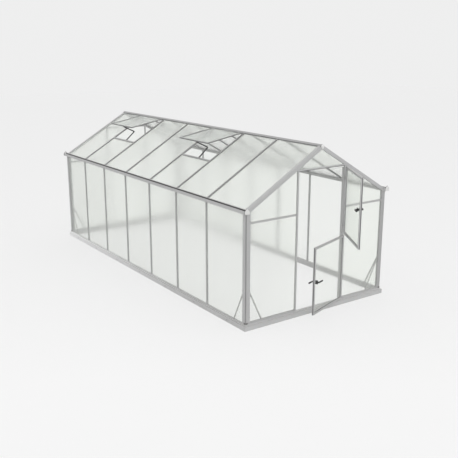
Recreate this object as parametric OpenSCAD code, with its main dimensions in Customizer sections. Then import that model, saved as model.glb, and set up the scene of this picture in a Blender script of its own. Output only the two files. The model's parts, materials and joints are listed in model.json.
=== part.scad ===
// Aluminium greenhouse with twin-wall polycarbonate panels, a stable door and two roof vents.
// X runs across the gable, to the right seen from the front. Y runs along the house, away from the
// front gable. Z is up. The origin is on the ground, under the middle of the front gable wall.

/* [House] */
// Distance between the centre planes of the two side walls
house_w = 2295; // [2000:5:2800]
// Width of one bay, from bar to bar
bay_w = 740; // [640:5:860]
// Number of bays along each side
bays = 7; // [6:1:9]
// How much longer the left side's first bay and the right side's last bay are
front_bay_extra = 98; // [0:1:140]
// How much longer the left side's last bay and the right side's first bay are
back_bay_extra = 0; // [0:1:140]
// Height of the side walls, up to the underside of the gutter
wall_h = 1450; // [1380:10:1700]
// Slope of the roof in degrees
roof_pitch = 30.4; // [26:0.1:34]

/* [Base rail] */
// Height of the base rail's upright, which carries the posts and panels
base_h = 79; // [64:1:100]
// Height of the outer lip
base_lip_h = 58; // [30:1:60]
// Reach of the lip outside the wall's centre plane
base_reach = 34; // [30:1:60]
// Outer face of the upright, from the wall's centre plane
base_web = 14; // [12:1:20]
// Height of the foot rails that carry the gables' panels on the base rail
foot_rail_h = 19; // [12:1:30]

/* [Glazing bars and panels] */
// Width of a glazing bar
bar_w = 22; // [18:1:36]
// Part of a bar outside the panel's middle
bar_out = 10; // [6:1:12]
// Part of a bar inside the panel's middle
bar_in = 13; // [12:1:34]
// Thickness of the twin-wall panels
panel_t = 6; // [4:1:10]
// Play between a panel's edges and the frame around it
panel_play = 0.3; // [0.1:0.1:0.5]
// Play between frame pieces that lie face to face
seat_play = 0.1; // [0.05:0.05:0.3]

/* [Corner posts and gable rafters] */
// Width of the groove along the outer edge of posts and rafters
edge_groove = 10; // [6:1:16]
// Reach of the post's two flanges from the corner
post_flange = 56; // [44:1:90]
// Depth of the gable rafters below the middle of the roof panels
rafter_drop = 39; // [36:1:45]
// Reach of the rafters' roof flange along the house
rafter_flange = 40; // [34:1:72]

/* [Gutter and ridge] */
// Height of the roof's middle plane over the gutter's underside, at the wall
eave_rise = 25.5; // [24:0.5:32]
// Distance up the slope from the wall plane to the lower end of the bars
eave_setback = 17; // [14:1:20]
// Reach of the gutter outside the wall's centre plane
gutter_reach = 45; // [40:1:70]
// Height of the gutter's outer wall
gutter_h = 42; // [32:1:46]
// Thickness of the gutter's outer wall
gutter_wall = 4; // [3:0.5:6]
// Thickness of the gutter's floor
gutter_floor = 10; // [8:1:14]
// Outer face of the eave beam behind the trough, from the wall's centre plane
beam_out = 8; // [4:1:14]
// Distance down the slope from the apex to the upper end of the bars
ridge_half = 28; // [27:1:50]
// Height of the ridge's crown over the apex of the roof's middle plane
ridge_crown = 14; // [12:1:24]
// Depth of the ridge beam's foot below the roof's middle plane
ridge_depth = 15; // [13:1:24]

/* [Corner caps] */
// Reach of the eave caps in front of the gable's centre plane
cap_front = 46; // [20:1:60]
// Thickness of the eave caps, which close the gutters' ends
cap_t = 10; // [6:1:16]
// Reach of the ridge caps in front of the gable's centre plane
ridge_cap_front = 16; // [12:1:24]
// Thickness of the ridge caps
ridge_cap_t = 14; // [10:1:30]
// Half of the eave cap's foot inside the corner's centre
cap_in = 21; // [16:1:32]
// Reach of the eave cap outside the corner's centre
cap_out = 52; // [46:1:60]
// Height of the eave cap over the gutter's underside
cap_h = 71; // [60:1:90]
// How far the eave cap's peak stands outside the corner's centre
cap_peak_x = 20; // [10:1:30]
// Height of the eave cap over the roof's middle plane, where the bars end
cap_shoulder = 20; // [14:1:26]
// Height of the eave cap's outer edge over the gutter's underside
cap_side_h = 34; // [24:1:44]
// Chamfer of the eave cap's lower outer corner
cap_chamfer = 8; // [4:1:12]

/* [Gables] */
// Distance of the left door post's centre from the middle
left_post_x = 373; // [340:1:420]
// Distance of the right door post's centre from the middle
right_post_x = 402; // [370:1:440]
// Height of the transoms' centres
transom_z = 1330; // [1100:1:1340]
// Distance from the rafter down to the header's underside, at the right door post
header_drop = 11; // [4:1:14]

/* [Corner braces] */
// Distance of a brace's upper end from the corner's centre
brace_top_x = 50; // [44:1:56]
// Height of a brace's upper end
brace_top_z = 500; // [300:10:700]
// Distance of a brace's lower end from the corner's centre
brace_foot_x = 270; // [180:5:400]
// Height of a brace's lower end
brace_foot_z = 42; // [20:1:50]
// Width of a brace
brace_w = 20; // [12:1:24]
// Thickness of a brace
brace_t = 4; // [2:1:6]

/* [Roof vents] */
// First bay with a vent, counted from the front
vent_bay_a = 3; // [1:1:3]
// Second bay with a vent
vent_bay_b = 6; // [4:1:6]
// Distance down the slope from the apex to the vent's sill bar
vent_sill_s = 679; // [560:1:800]
// Distance of the closed sash's free edge from the sill bar
vent_gap = 40; // [4:1:60]
// Angle by which the sashes stand open
vent_angle = 20.4; // [5:0.1:35]
// Width of the sash's frame members
sash_w = 20; // [16:1:30]
// Thickness of the sash's frame
sash_t = 14; // [12:1:20]
// Gap between the sashes' edges and the middle of the bars
sash_side_gap = 2; // [1:0.5:6]
// Radius of the vent's hinge barrel
vent_barrel_r = 8; // [6:0.5:8]
// Width of the hinge rail under the barrel
vent_rail_w = 18; // [18:1:28]
// Rise of the hinge rail over the roof bars
vent_rail_rise = 2; // [1:0.5:4]

/* [Vent openers] */
// Radius of the opener's arms
opener_r = 5.5; // [4:0.5:5.5]
// Radius of the opener's elbow
elbow_r = 7.5; // [6:0.5:12]
// Thickness of the opener along the house
opener_t = 14; // [10:1:28]
// Distance of the opener from the bay's middle, towards the front
opener_shift = 65; // [0:5:120]
// Place of the elbow down the slope from the apex
elbow_s = 476; // [400:1:500]
// Height of the elbow over the roof's middle plane
elbow_n = 38; // [30:1:60]
// Size of the opener's foot block
opener_foot = 20; // [16:1:24]

/* [Door leaves] */
// Width of the stiles and rails
leaf_frame_w = 26; // [22:1:40]
// Thickness of the leaves
leaf_t = 24; // [18:1:30]
// Gap over the base rail and under the header
leaf_gap = 6; // [5:0.5:10]
// Height of the lower leaf's foot over the base rail
leaf_foot_gap = 12; // [6:1:20]
// Gap between the closed leaves and the front of the door frame
leaf_stand = 7; // [7:0.5:10]
// Distance of the leaves' free edge from the left door post, seen from the front
free_gap = 6; // [2:0.5:10]
// Overlap of the leaves on the right door post
hinge_lap = 5; // [4:0.5:10]
// Middle height of the gap between the two leaves
split_z = 974; // [860:1:1060]
// Gap between the two leaves
split_gap = 22; // [10:1:24]
// Angle by which the lower leaf stands open at rest
lower_open = 18.6; // [0:0.1:110]
// Angle by which the upper leaf stands open at rest
upper_open = 59.3; // [0:0.1:110]

/* [Hinges] */
// Distance of the hinge line from the leaves' edge
hinge_stand = 7; // [7:0.5:9]
// Radius of the knuckles
knuckle_r = 5.5; // [5:0.25:5.5]
// Height of one knuckle
knuckle_h = 28; // [20:1:40]
// Radius of the hinge pins
pin_r = 3; // [2:0.25:3.5]
// Clearance round the pins
pin_clearance = 0.05; // [0.02:0.01:0.1]
// Gap between the two knuckles of a hinge
knuckle_gap = 0.4; // [0.2:0.1:1]
// Thickness of the hinge plates
hinge_plate_t = 3; // [2.5:0.5:4]
// Distance of the lower knuckle joint from each leaf's foot
hinge_low = 110; // [60:5:200]
// Distance of the upper knuckle joint from each leaf's head
hinge_high = 140; // [90:5:240]

/* [Lever handles] */
// Height of the lower leaf's spindle over the leaf's foot
lower_handle_h = 414; // [380:1:500]
// Height of the upper leaf's spindle over the leaf's foot
upper_handle_h = 472; // [380:1:540]
// Distance of the spindle from the leaf's free edge
spindle_inset = 76; // [60:1:110]
// Radius of the spindle
spindle_r = 4.5; // [3.5:0.25:5]
// Clearance round the spindle in the handle plates
spindle_clearance = 0.05; // [0.02:0.01:0.1]
// Clearance hole round the spindle in the panel
hole_clearance = 1.5; // [1:0.25:3]
// Width of the handle plates
plate_w = 36; // [30:1:52]
// Height of the handle plates
plate_h = 62; // [40:1:90]
// Thickness of the handle plates, from the panel
plate_t = 11; // [9:0.5:16]
// Radius of the levers' necks
neck_r = 8.5; // [7:0.25:9]
// Length of the outer lever's neck
outer_neck_l = 5; // [3:1:30]
// Length of the inner lever's neck, which carries the lever behind the door post
inner_neck_l = 33; // [33:1:44]
// Gap between a neck and its plate
neck_gap = 0.3; // [0.2:0.1:1]
// Length of a grip from the spindle to the middle of its round end
grip_l = 100; // [80:1:130]
// Half height of a grip
grip_r = 8.5; // [7:0.25:9]
// Thickness of a grip
grip_t = 10; // [8:0.5:14]

/* [Hidden] */
$fn = 64;

frame_colour = [0.66, 0.66, 0.66];
base_colour = [0.74, 0.74, 0.74];
panel_colour = [0.90, 0.93, 0.91, 0.5];
cap_colour = [0.90, 0.90, 0.89];
black_colour = [0.08, 0.08, 0.08];
steel_colour = [0.55, 0.55, 0.56];

half_w = house_w / 2;
house_l = bays * bay_w + front_bay_extra + back_bay_extra;
half_l = house_l / 2;
half_bar = bar_w / 2;
left_lines = bay_lines(front_bay_extra);
right_lines = bay_lines(back_bay_extra);

// Roof: s runs down the slope from the apex, n stands square to the slope
ridge_z = wall_h + eave_rise + half_w * tan(roof_pitch);
slope_end = half_w / cos(roof_pitch) - eave_setback;
bar_start = ridge_half + seat_play;
bar_end = slope_end - seat_play;

// Gables
left_open = left_post_x - half_bar;
right_open = right_post_x - half_bar;
header_foot = rafter_under(right_open) - header_drop;
header_top = header_foot + bar_w;
column_edge = half_w - post_flange;
panel_foot = base_h + foot_rail_h + panel_play;
transom_under = transom_z - half_bar - panel_play;
transom_over = transom_z + half_bar + panel_play;

// Vents
vent_bays = [vent_bay_a, vent_bay_b];
vent_hinge_s = ridge_half + vent_rail_w / 2;
vent_curb_top = bar_out + vent_rail_rise;
vent_hinge_n = vent_curb_top + vent_barrel_r;
sash_end = vent_sill_s - vent_gap - vent_hinge_s;

// Door
leaf_left = -left_open + free_gap;
leaf_right = right_open + hinge_lap;
leaf_back = -bar_out - leaf_stand;
leaf_front = leaf_back - leaf_t;
leaf_middle = leaf_back - leaf_t / 2;
lower_foot = base_h + leaf_foot_gap;
lower_head = split_z - split_gap / 2;
upper_foot = split_z + split_gap / 2;
upper_head = header_foot - leaf_gap;
hinge_x = leaf_right + hinge_stand;
hinge_y = leaf_middle;
spindle_x = leaf_left + spindle_inset;
outer_plate_face = leaf_middle - panel_t / 2 - plate_t;
inner_plate_face = leaf_middle + panel_t / 2 + plate_t;
outer_grip_face = outer_plate_face - neck_gap - outer_neck_l;
inner_grip_face = inner_plate_face + neck_gap + inner_neck_l;
lower_handle_z = lower_foot + lower_handle_h;
upper_handle_z = upper_foot + upper_handle_h;

// Height of the rafters' underside at a distance x from the middle
function rafter_under(x) = ridge_z - x * tan(roof_pitch) - (rafter_drop + seat_play) / cos(roof_pitch);

// Height of the gable panels' upper edge at a distance x from the middle
function panel_under(x) = rafter_under(x) - panel_play;

// Distance from the middle at which the rafters' underside is at height z
function rafter_reach(z) = (rafter_under(0) - z) / tan(roof_pitch);

// Point of the right slope at s down the slope and n over the panels' middle, as [x, z]
function slope_point(s, n) = [
    s * cos(roof_pitch) + n * sin(roof_pitch),
    ridge_z - s * sin(roof_pitch) + n * cos(roof_pitch)
];

// Point of the open sash at t from its hinge line and m over its middle, as [x, z]
function sash_point(t, m) = slope_point(
    vent_hinge_s + t * cos(vent_angle) - m * sin(vent_angle),
    vent_hinge_n + t * sin(vent_angle) + m * cos(vent_angle)
);

// Places of a side's bay lines along the house, from corner to corner
function bay_lines(first_extra) = [
    for (k = [0 : bays]) k == 0 ? 0 : k == bays ? house_l : first_extra + k * bay_w
];

// Clear span of a bay between its bars, as [start, end], with the reach of the corner's flange
function bay_span(lines, bay, corner_reach) = [
    bay == 1 ? corner_reach : lines[bay - 1] + half_bar,
    bay == bays ? house_l - corner_reach : lines[bay] - half_bar
];

// ---- helpers ----

// Box between two corners
module block(low, high) {
    translate(low)
        cube(high - low);
}

// Extrusion along Y of a profile drawn in X and Z
module run_y(y_start, y_end) {
    translate([0, y_end, 0])
        rotate([90, 0, 0])
            linear_extrude(height = y_end - y_start)
                children();
}

// Extrusion along X of a profile drawn in Y and Z
module run_x(x_start, x_end) {
    translate([x_start, 0, 0])
        rotate([90, 0, 90])
            linear_extrude(height = x_end - x_start)
                children();
}

// Moves the front gable's pieces to the back gable
module at_back() {
    translate([0, house_l, 0])
        mirror([0, 1, 0])
            children();
}

// Moves the right side's pieces to the left side
module at_left() {
    mirror([1, 0, 0])
        children();
}

// Draws the right side's pieces on both sides
module both_sides() {
    children();
    at_left()
        children();
}

// Lays out pieces on the right slope: X down the slope, Z square to it
module on_slope() {
    translate([0, 0, ridge_z])
        rotate([0, roof_pitch, 0])
            children();
}

// Flat bar outline with round ends, between two points
module link_outline(start, end, radius) {
    span = end - start;
    translate(start)
        rotate(atan2(span[1], span[0]))
            translate([0, -radius])
                square([norm(span), 2 * radius]);
    translate(start)
        circle(r = radius);
    translate(end)
        circle(r = radius);
}

// ---- base ----

module base_profile() {
    polygon([
        [-base_reach, 0], [bar_in, 0], [bar_in, base_h], [-base_web, base_h],
        [-base_web, base_lip_h], [-base_reach, base_lip_h]
    ]);
}

// Base rail of a wall that reaches half_length each way, mitred at its ends
module base_rail(half_length) {
    color(base_colour)
        intersection() {
            run_x(-half_length - base_reach, half_length + base_reach)
                base_profile();
            linear_extrude(height = base_h)
                polygon([
                    [-half_length - base_reach, -base_reach], [half_length + base_reach, -base_reach],
                    [half_length - bar_in, bar_in], [-half_length + bar_in, bar_in]
                ]);
        }
}

module front_base_rail() {
    base_rail(half_w);
}

module back_base_rail() {
    at_back()
        base_rail(half_w);
}

module right_base_rail() {
    translate([half_w, half_l, 0])
        rotate([0, 0, 90])
            base_rail(half_l);
}

module left_base_rail() {
    at_left()
        right_base_rail();
}

// ---- corner posts ----

// Two flanges with a groove between them, with the corner at the origin and the walls along +X and +Y
module corner_profile() {
    groove_floor = edge_groove - bar_out;
    polygon([
        [groove_floor, -bar_out], [post_flange, -bar_out], [post_flange, bar_in], [bar_in, bar_in],
        [bar_in, post_flange], [-bar_out, post_flange], [-bar_out, groove_floor],
        [groove_floor, groove_floor]
    ]);
}

// Front left post, standing on the base rail
module front_left_post() {
    color(frame_colour)
        translate([-half_w, 0, 0])
            difference() {
                translate([0, 0, base_h])
                    linear_extrude(height = rafter_under(column_edge) - base_h)
                        corner_profile();
                post_head_cut();
            }
}

// Space over the post's head: the eave cap, the gutter and the gable rafter
module post_head_cut() {
    block([-post_flange, -post_flange, wall_h],
          [half_w - rafter_reach(wall_h), 2 * post_flange, 2 * wall_h]);
    translate([half_w, 0, 0])
        at_left()
            on_slope()
                block([0, -post_flange, -rafter_drop - seat_play],
                      [slope_end, 2 * post_flange, wall_h]);
}

module front_right_post() {
    at_left()
        front_left_post();
}

module back_left_post() {
    at_back()
        front_left_post();
}

module back_right_post() {
    at_back()
        front_right_post();
}

// ---- gutters and ridge ----

// Gutter with the eave beam behind its trough, on the right side
module right_gutter() {
    trough_floor = wall_h + gutter_floor;
    butt_head = slope_point(slope_end, bar_out);
    start = cap_t - cap_front + seat_play;
    color(frame_colour)
        run_y(start, house_l - start)
            polygon([
                [rafter_reach(wall_h) + seat_play, wall_h], [half_w + gutter_reach, wall_h],
                [half_w + gutter_reach, wall_h + gutter_h],
                [half_w + gutter_reach - gutter_wall, wall_h + gutter_h],
                [half_w + gutter_reach - gutter_wall, trough_floor],
                [half_w + beam_out, trough_floor], [half_w + beam_out, butt_head[1]], butt_head
            ]);
}

module left_gutter() {
    at_left()
        right_gutter();
}

// Ridge outline down to a depth below the panels' middle
module ridge_outline(depth) {
    edge = slope_point(ridge_half, vent_curb_top);
    foot = slope_point(ridge_half, -depth);
    polygon([
        [0, ridge_z + ridge_crown], edge, foot, [-foot[0], foot[1]], [-edge[0], edge[1]]
    ]);
}

module ridge_beam() {
    start = ridge_cap_t - ridge_cap_front + seat_play;
    color(frame_colour)
        run_y(start, house_l - start)
            ridge_outline(ridge_depth);
}

// ---- gable rafters ----

// Rafter section, Y along the house and n square to the slope
module rafter_profile() {
    groove_y = edge_groove - bar_out;
    groove_n = bar_out - edge_groove;
    polygon([
        [-bar_out, -rafter_drop], [bar_in, -rafter_drop], [bar_in, -bar_in], [rafter_flange, -bar_in],
        [rafter_flange, bar_out], [groove_y, bar_out], [groove_y, groove_n], [-bar_out, groove_n]
    ]);
}

module front_rafters() {
    color(frame_colour)
        both_sides()
            on_slope()
                run_x(bar_start, bar_end)
                    rafter_profile();
}

module back_rafters() {
    at_back()
        front_rafters();
}

// ---- caps ----

// Eave cap of the front right corner, on the gutter's end
module eave_cap() {
    slope_x = slope_end * cos(roof_pitch);
    shoulder_n = (half_w - cap_in - slope_x) / sin(roof_pitch);
    run_y(-cap_front, cap_t - cap_front)
        polygon([
            [half_w - cap_in, wall_h], [half_w + cap_out - cap_chamfer, wall_h],
            [half_w + cap_out, wall_h + cap_chamfer], [half_w + cap_out, wall_h + cap_side_h],
            [half_w + cap_peak_x, wall_h + cap_h],
            slope_point(slope_end, cap_shoulder), slope_point(slope_end, shoulder_n)
        ]);
}

module eave_caps() {
    color(cap_colour)
        both_sides() {
            eave_cap();
            at_back()
                eave_cap();
        }
}

// Ridge cap of the front gable, on the ridge beam's end
module ridge_cap() {
    run_y(-ridge_cap_front, ridge_cap_t - ridge_cap_front)
        ridge_outline(rafter_drop);
}

module ridge_caps() {
    color(cap_colour) {
        ridge_cap();
        at_back()
            ridge_cap();
    }
}

// ---- bars ----

// Upright bars of the right side, at the given bay lines
module wall_bars(lines) {
    color(frame_colour)
        for (k = [1 : bays - 1])
            block([half_w - bar_in, lines[k] - half_bar, base_h],
                  [half_w + bar_out, lines[k] + half_bar, wall_h - seat_play]);
}

module right_wall_bars() {
    wall_bars(right_lines);
}

module left_wall_bars() {
    at_left()
        wall_bars(left_lines);
}

// Bars of the right slope, at the given bay lines
module roof_bars(lines) {
    color(frame_colour)
        on_slope()
            for (k = [1 : bays - 1])
                block([bar_start, lines[k] - half_bar, -bar_in],
                      [bar_end, lines[k] + half_bar, bar_out]);
}

module right_roof_bars() {
    roof_bars(right_lines);
}

module left_roof_bars() {
    at_left()
        roof_bars(left_lines);
}

// ---- gable frame ----

// Post of the front gable, cut to the rafter at its head
module gable_post(x) {
    inner = x - half_bar;
    outer = x + half_bar;
    run_y(-bar_out, bar_in)
        polygon([
            [inner, base_h], [outer, base_h], [outer, rafter_under(outer)], [inner, rafter_under(inner)]
        ]);
}

module door_posts() {
    color(frame_colour) {
        gable_post(right_post_x);
        at_left()
            gable_post(left_post_x);
    }
}

module back_wall_posts() {
    at_back()
        door_posts();
}

// Bar over the doorway, cut to the rafters at its ends
module header() {
    intersection() {
        block([-left_open, -bar_out, header_foot], [right_open, bar_in, header_top]);
        run_y(-bar_out, bar_in)
            polygon([
                [half_w, rafter_under(half_w)], [0, rafter_under(0)], [-half_w, rafter_under(half_w)]
            ]);
    }
}

module door_header() {
    color(frame_colour)
        header();
}

// Transom and foot rail between the right corner post and a gable post at x
module side_transom(x) {
    block([x + half_bar, -bar_out, transom_z - half_bar],
          [column_edge - seat_play, bar_in, transom_z + half_bar]);
    block([x + half_bar, -bar_out, base_h], [column_edge - seat_play, bar_in, base_h + foot_rail_h]);
}

// Transoms and foot rails of the two side columns of the front gable
module side_transoms() {
    side_transom(right_post_x);
    at_left()
        side_transom(left_post_x);
}

module front_transoms() {
    color(frame_colour)
        side_transoms();
}

module back_transoms() {
    color(frame_colour)
        at_back() {
            side_transoms();
            header();
            block([-left_open, -bar_out, transom_z - half_bar],
                  [right_open, bar_in, transom_z + half_bar]);
            block([-left_open, -bar_out, base_h], [right_open, bar_in, base_h + foot_rail_h]);
        }
}

// ---- panels ----

// Panels of the right wall, between the given bay lines
module wall_panels(lines) {
    color(panel_colour)
        for (bay = [1 : bays]) {
            span = bay_span(lines, bay, post_flange);
            block([half_w - panel_t / 2, span[0] + panel_play, base_h + panel_play],
                  [half_w + panel_t / 2, span[1] - panel_play, wall_h - panel_play]);
        }
}

module right_wall_panels() {
    wall_panels(right_lines);
}

module left_wall_panels() {
    at_left()
        wall_panels(left_lines);
}

// Roof panel of one bay, starting at s down the slope
module roof_panel(lines, bay, s_start) {
    span = bay_span(lines, bay, rafter_flange);
    block([s_start + panel_play, span[0] + panel_play, -panel_t / 2],
          [slope_end - panel_play, span[1] - panel_play, panel_t / 2]);
}

module right_roof_panels() {
    color(panel_colour)
        on_slope()
            for (bay = [1 : bays])
                roof_panel(right_lines, bay, ridge_half);
}

function has_vent(bay) = len([for (b = vent_bays) if (b == bay) b]) > 0;

module left_roof_panels() {
    color(panel_colour)
        at_left()
            on_slope()
                for (bay = [1 : bays])
                    roof_panel(left_lines, bay, has_vent(bay) ? vent_sill_s + bar_w : ridge_half);
}

// Two panels between the right corner post and a gable post at x
module column_panels(x) {
    inner = x + half_bar + panel_play;
    outer = column_edge - panel_play;
    run_y(-panel_t / 2, panel_t / 2) {
        polygon([
            [inner, panel_foot], [outer, panel_foot], [outer, transom_under], [inner, transom_under]
        ]);
        polygon([
            [inner, transom_over], [outer, transom_over],
            [outer, panel_under(outer)], [inner, panel_under(inner)]
        ]);
    }
}

// Panels of the two side columns and the peak of the front gable
module gable_panels() {
    peak_half = slope_point(ridge_half, -rafter_drop)[0];
    column_panels(right_post_x);
    at_left()
        column_panels(left_post_x);
    intersection() {
        block([panel_play - left_open, -panel_t / 2, header_top + panel_play],
              [right_open - panel_play, panel_t / 2, panel_under(peak_half)]);
        run_y(-panel_t / 2, panel_t / 2)
            polygon([
                [half_w, panel_under(half_w)], [0, panel_under(0)], [-half_w, panel_under(half_w)]
            ]);
    }
}

module front_gable_panels() {
    color(panel_colour)
        gable_panels();
}

module back_gable_panels() {
    left = -left_open + panel_play;
    right = right_open - panel_play;
    color(panel_colour)
        at_back() {
            gable_panels();
            block([left, -panel_t / 2, panel_foot], [right, panel_t / 2, transom_under]);
            block([left, -panel_t / 2, transom_over], [right, panel_t / 2, header_foot - panel_play]);
        }
}

// ---- corner braces ----

// Two braces of a wall that reaches half_length each way, on the inner faces of base and posts
module wall_braces(half_length) {
    both_sides()
        run_y(bar_in, bar_in + brace_t)
            link_outline([half_length - brace_foot_x, brace_foot_z],
                         [half_length - brace_top_x, brace_top_z], brace_w / 2);
}

module corner_braces() {
    color(frame_colour) {
        wall_braces(half_w);
        at_back()
            wall_braces(half_w);
        both_sides()
            translate([half_w, half_l, 0])
                rotate([0, 0, 90])
                    wall_braces(half_l);
    }
}

// ---- roof vents, on the left slope ----

// Sill bar under each vent, and the rail with the hinge barrel at the ridge
module vent_curbs() {
    color(frame_colour)
        at_left()
            on_slope()
                for (bay = vent_bays) {
                    span = bay_span(left_lines, bay, rafter_flange);
                    start = span[0] + seat_play;
                    end = span[1] - seat_play;
                    block([vent_sill_s, start, -bar_in], [vent_sill_s + bar_w, end, bar_out]);
                    block([bar_start, start, -bar_out], [ridge_half + vent_rail_w, end, vent_curb_top]);
                    translate([vent_hinge_s, start, vent_hinge_n - vent_barrel_r / 2])
                        rotate([-90, 0, 0])
                            cylinder(r = vent_barrel_r, h = end - start);
                }
}

// Lays out pieces on a sash of the left slope: X from the hinge line to the free edge
module on_sash() {
    at_left()
        on_slope()
            translate([vent_hinge_s, 0, vent_hinge_n])
                rotate([0, -vent_angle, 0])
                    children();
}

module vent_sash_stiles() {
    color(frame_colour)
        on_sash()
            for (bay = vent_bays) {
                start = left_lines[bay - 1] + sash_side_gap;
                end = left_lines[bay] - sash_side_gap;
                block([vent_barrel_r, start, -sash_t / 2], [sash_end, start + sash_w, sash_t / 2]);
                block([vent_barrel_r, end - sash_w, -sash_t / 2], [sash_end, end, sash_t / 2]);
            }
}

module vent_sash_rails() {
    color(frame_colour)
        on_sash()
            for (bay = vent_bays) {
                start = left_lines[bay - 1] + sash_side_gap + sash_w;
                end = left_lines[bay] - sash_side_gap - sash_w;
                block([vent_barrel_r, start, -sash_t / 2],
                      [vent_barrel_r + sash_w, end, sash_t / 2]);
                block([sash_end - sash_w, start, -sash_t / 2], [sash_end, end, sash_t / 2]);
            }
}

module vent_panes() {
    color(panel_colour)
        on_sash()
            for (bay = vent_bays) {
                start = left_lines[bay - 1] + sash_side_gap + sash_w + panel_play;
                end = left_lines[bay] - sash_side_gap - sash_w - panel_play;
                block([vent_barrel_r + sash_w + panel_play, start, -panel_t / 2],
                      [sash_end - sash_w - panel_play, end, panel_t / 2]);
            }
}

// Opener from the sill bar over its elbow to the sash's free rail
module vent_openers() {
    foot = slope_point(vent_sill_s - opener_foot / 2, 0);
    elbow = slope_point(elbow_s, elbow_n);
    head = sash_point(sash_end - sash_w / 2, -sash_t / 2 - opener_r);
    color(steel_colour)
        at_left()
            for (bay = vent_bays) {
                middle = (left_lines[bay - 1] + left_lines[bay]) / 2;
                translate([0, middle - opener_shift, 0]) {
                    on_slope()
                        block([vent_sill_s - opener_foot, -opener_t / 2, -bar_out],
                              [vent_sill_s, opener_t / 2, bar_out]);
                    run_y(-opener_t / 2, opener_t / 2) {
                        link_outline(foot, elbow, opener_r);
                        link_outline(elbow, head, opener_r);
                        translate(elbow)
                            circle(r = elbow_r);
                    }
                }
            }
}

// ---- stable door ----

// Turns a closed leaf about the hinge line
module swung(angle) {
    translate([hinge_x, hinge_y, 0])
        rotate([0, 0, angle])
            translate([-hinge_x, -hinge_y, 0])
                children();
}

// Heights of the two knuckle joints of a leaf
function hinge_heights(foot, head) = [foot + hinge_low, head - hinge_high];

// Brackets on the right door post, each with its pin pointing up
module door_hinge_pins() {
    heights = concat(hinge_heights(lower_foot, lower_head), hinge_heights(upper_foot, upper_head));
    color(steel_colour)
        for (z = heights) {
            translate([hinge_x, hinge_y, z - knuckle_h])
                cylinder(r = knuckle_r, h = knuckle_h);
            translate([hinge_x, hinge_y, z - knuckle_h])
                cylinder(r = pin_r, h = 2 * knuckle_h);
            block([hinge_x, hinge_y, z - knuckle_h], [hinge_x + hinge_plate_t, -bar_out, z]);
        }
}

// Cylinder along Y on the spindle's axis
module spindle_rod(radius, y_start, y_end, z) {
    translate([spindle_x, y_start, z])
        rotate([-90, 0, 0])
            cylinder(r = radius, h = y_end - y_start);
}

module leaf_stiles(foot, head) {
    color(frame_colour) {
        block([leaf_right - leaf_frame_w, leaf_front, foot], [leaf_right, leaf_back, head]);
        block([leaf_left, leaf_front, foot], [leaf_left + leaf_frame_w, leaf_back, head]);
    }
}

module leaf_rails(foot, head) {
    left = leaf_left + leaf_frame_w;
    right = leaf_right - leaf_frame_w;
    color(frame_colour) {
        block([left, leaf_front, foot], [right, leaf_back, foot + leaf_frame_w]);
        block([left, leaf_front, head - leaf_frame_w], [right, leaf_back, head]);
    }
}

// Panel of a leaf, with a hole for the spindle
module leaf_panel(foot, head, handle_z) {
    edge = leaf_frame_w + panel_play;
    color(panel_colour)
        difference() {
            block([leaf_left + edge, leaf_middle - panel_t / 2, foot + edge],
                  [leaf_right - edge, leaf_middle + panel_t / 2, head - edge]);
            spindle_rod(spindle_r + hole_clearance, leaf_front, leaf_back, handle_z);
        }
}

// Leaf's hinge knuckles, and the plates that its handles turn in
module leaf_fittings(foot, head, handle_z) {
    color(black_colour) {
        for (z = hinge_heights(foot, head))
            difference() {
                union() {
                    translate([hinge_x, hinge_y, z + knuckle_gap])
                        cylinder(r = knuckle_r, h = knuckle_h - knuckle_gap);
                    block([leaf_right, hinge_y - hinge_plate_t / 2, z + knuckle_gap],
                          [hinge_x, hinge_y + hinge_plate_t / 2, z + knuckle_h]);
                }
                translate([hinge_x, hinge_y, z])
                    cylinder(r = pin_r + pin_clearance, h = 2 * knuckle_h);
            }
        difference() {
            for (y = [outer_plate_face, leaf_middle + panel_t / 2])
                block([spindle_x - plate_w / 2, y, handle_z - plate_h / 2],
                      [spindle_x + plate_w / 2, y + plate_t, handle_z + plate_h / 2]);
            spindle_rod(spindle_r + spindle_clearance, outer_plate_face - plate_t,
                        inner_plate_face + plate_t, handle_z);
        }
    }
}

// Spindle with the two necks outside the handle plates
module leaf_spindle(z) {
    color(black_colour) {
        spindle_rod(spindle_r, outer_grip_face, inner_grip_face, z);
        spindle_rod(neck_r, outer_grip_face, outer_plate_face - neck_gap, z);
        spindle_rod(neck_r, inner_plate_face + neck_gap, inner_grip_face, z);
    }
}

// Outer grip, pointing to the hinges, and inner grip, which points the other way and latches the leaf
module leaf_levers(z) {
    color(black_colour) {
        run_y(outer_grip_face - grip_t, outer_grip_face)
            link_outline([spindle_x, z], [spindle_x + grip_l, z], grip_r);
        run_y(inner_grip_face, inner_grip_face + grip_t)
            link_outline([spindle_x - grip_l, z], [spindle_x, z], grip_r);
    }
}

module lower_door_stiles() { swung(lower_open) leaf_stiles(lower_foot, lower_head); }
module lower_door_rails() { swung(lower_open) leaf_rails(lower_foot, lower_head); }
module lower_door_panel() { swung(lower_open) leaf_panel(lower_foot, lower_head, lower_handle_z); }
module lower_door_fittings() { swung(lower_open) leaf_fittings(lower_foot, lower_head, lower_handle_z); }
module lower_door_spindle() { swung(lower_open) leaf_spindle(lower_handle_z); }
module lower_door_levers() { swung(lower_open) leaf_levers(lower_handle_z); }
module upper_door_stiles() { swung(upper_open) leaf_stiles(upper_foot, upper_head); }
module upper_door_rails() { swung(upper_open) leaf_rails(upper_foot, upper_head); }
module upper_door_panel() { swung(upper_open) leaf_panel(upper_foot, upper_head, upper_handle_z); }
module upper_door_fittings() { swung(upper_open) leaf_fittings(upper_foot, upper_head, upper_handle_z); }
module upper_door_spindle() { swung(upper_open) leaf_spindle(upper_handle_z); }
module upper_door_levers() { swung(upper_open) leaf_levers(upper_handle_z); }

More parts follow.
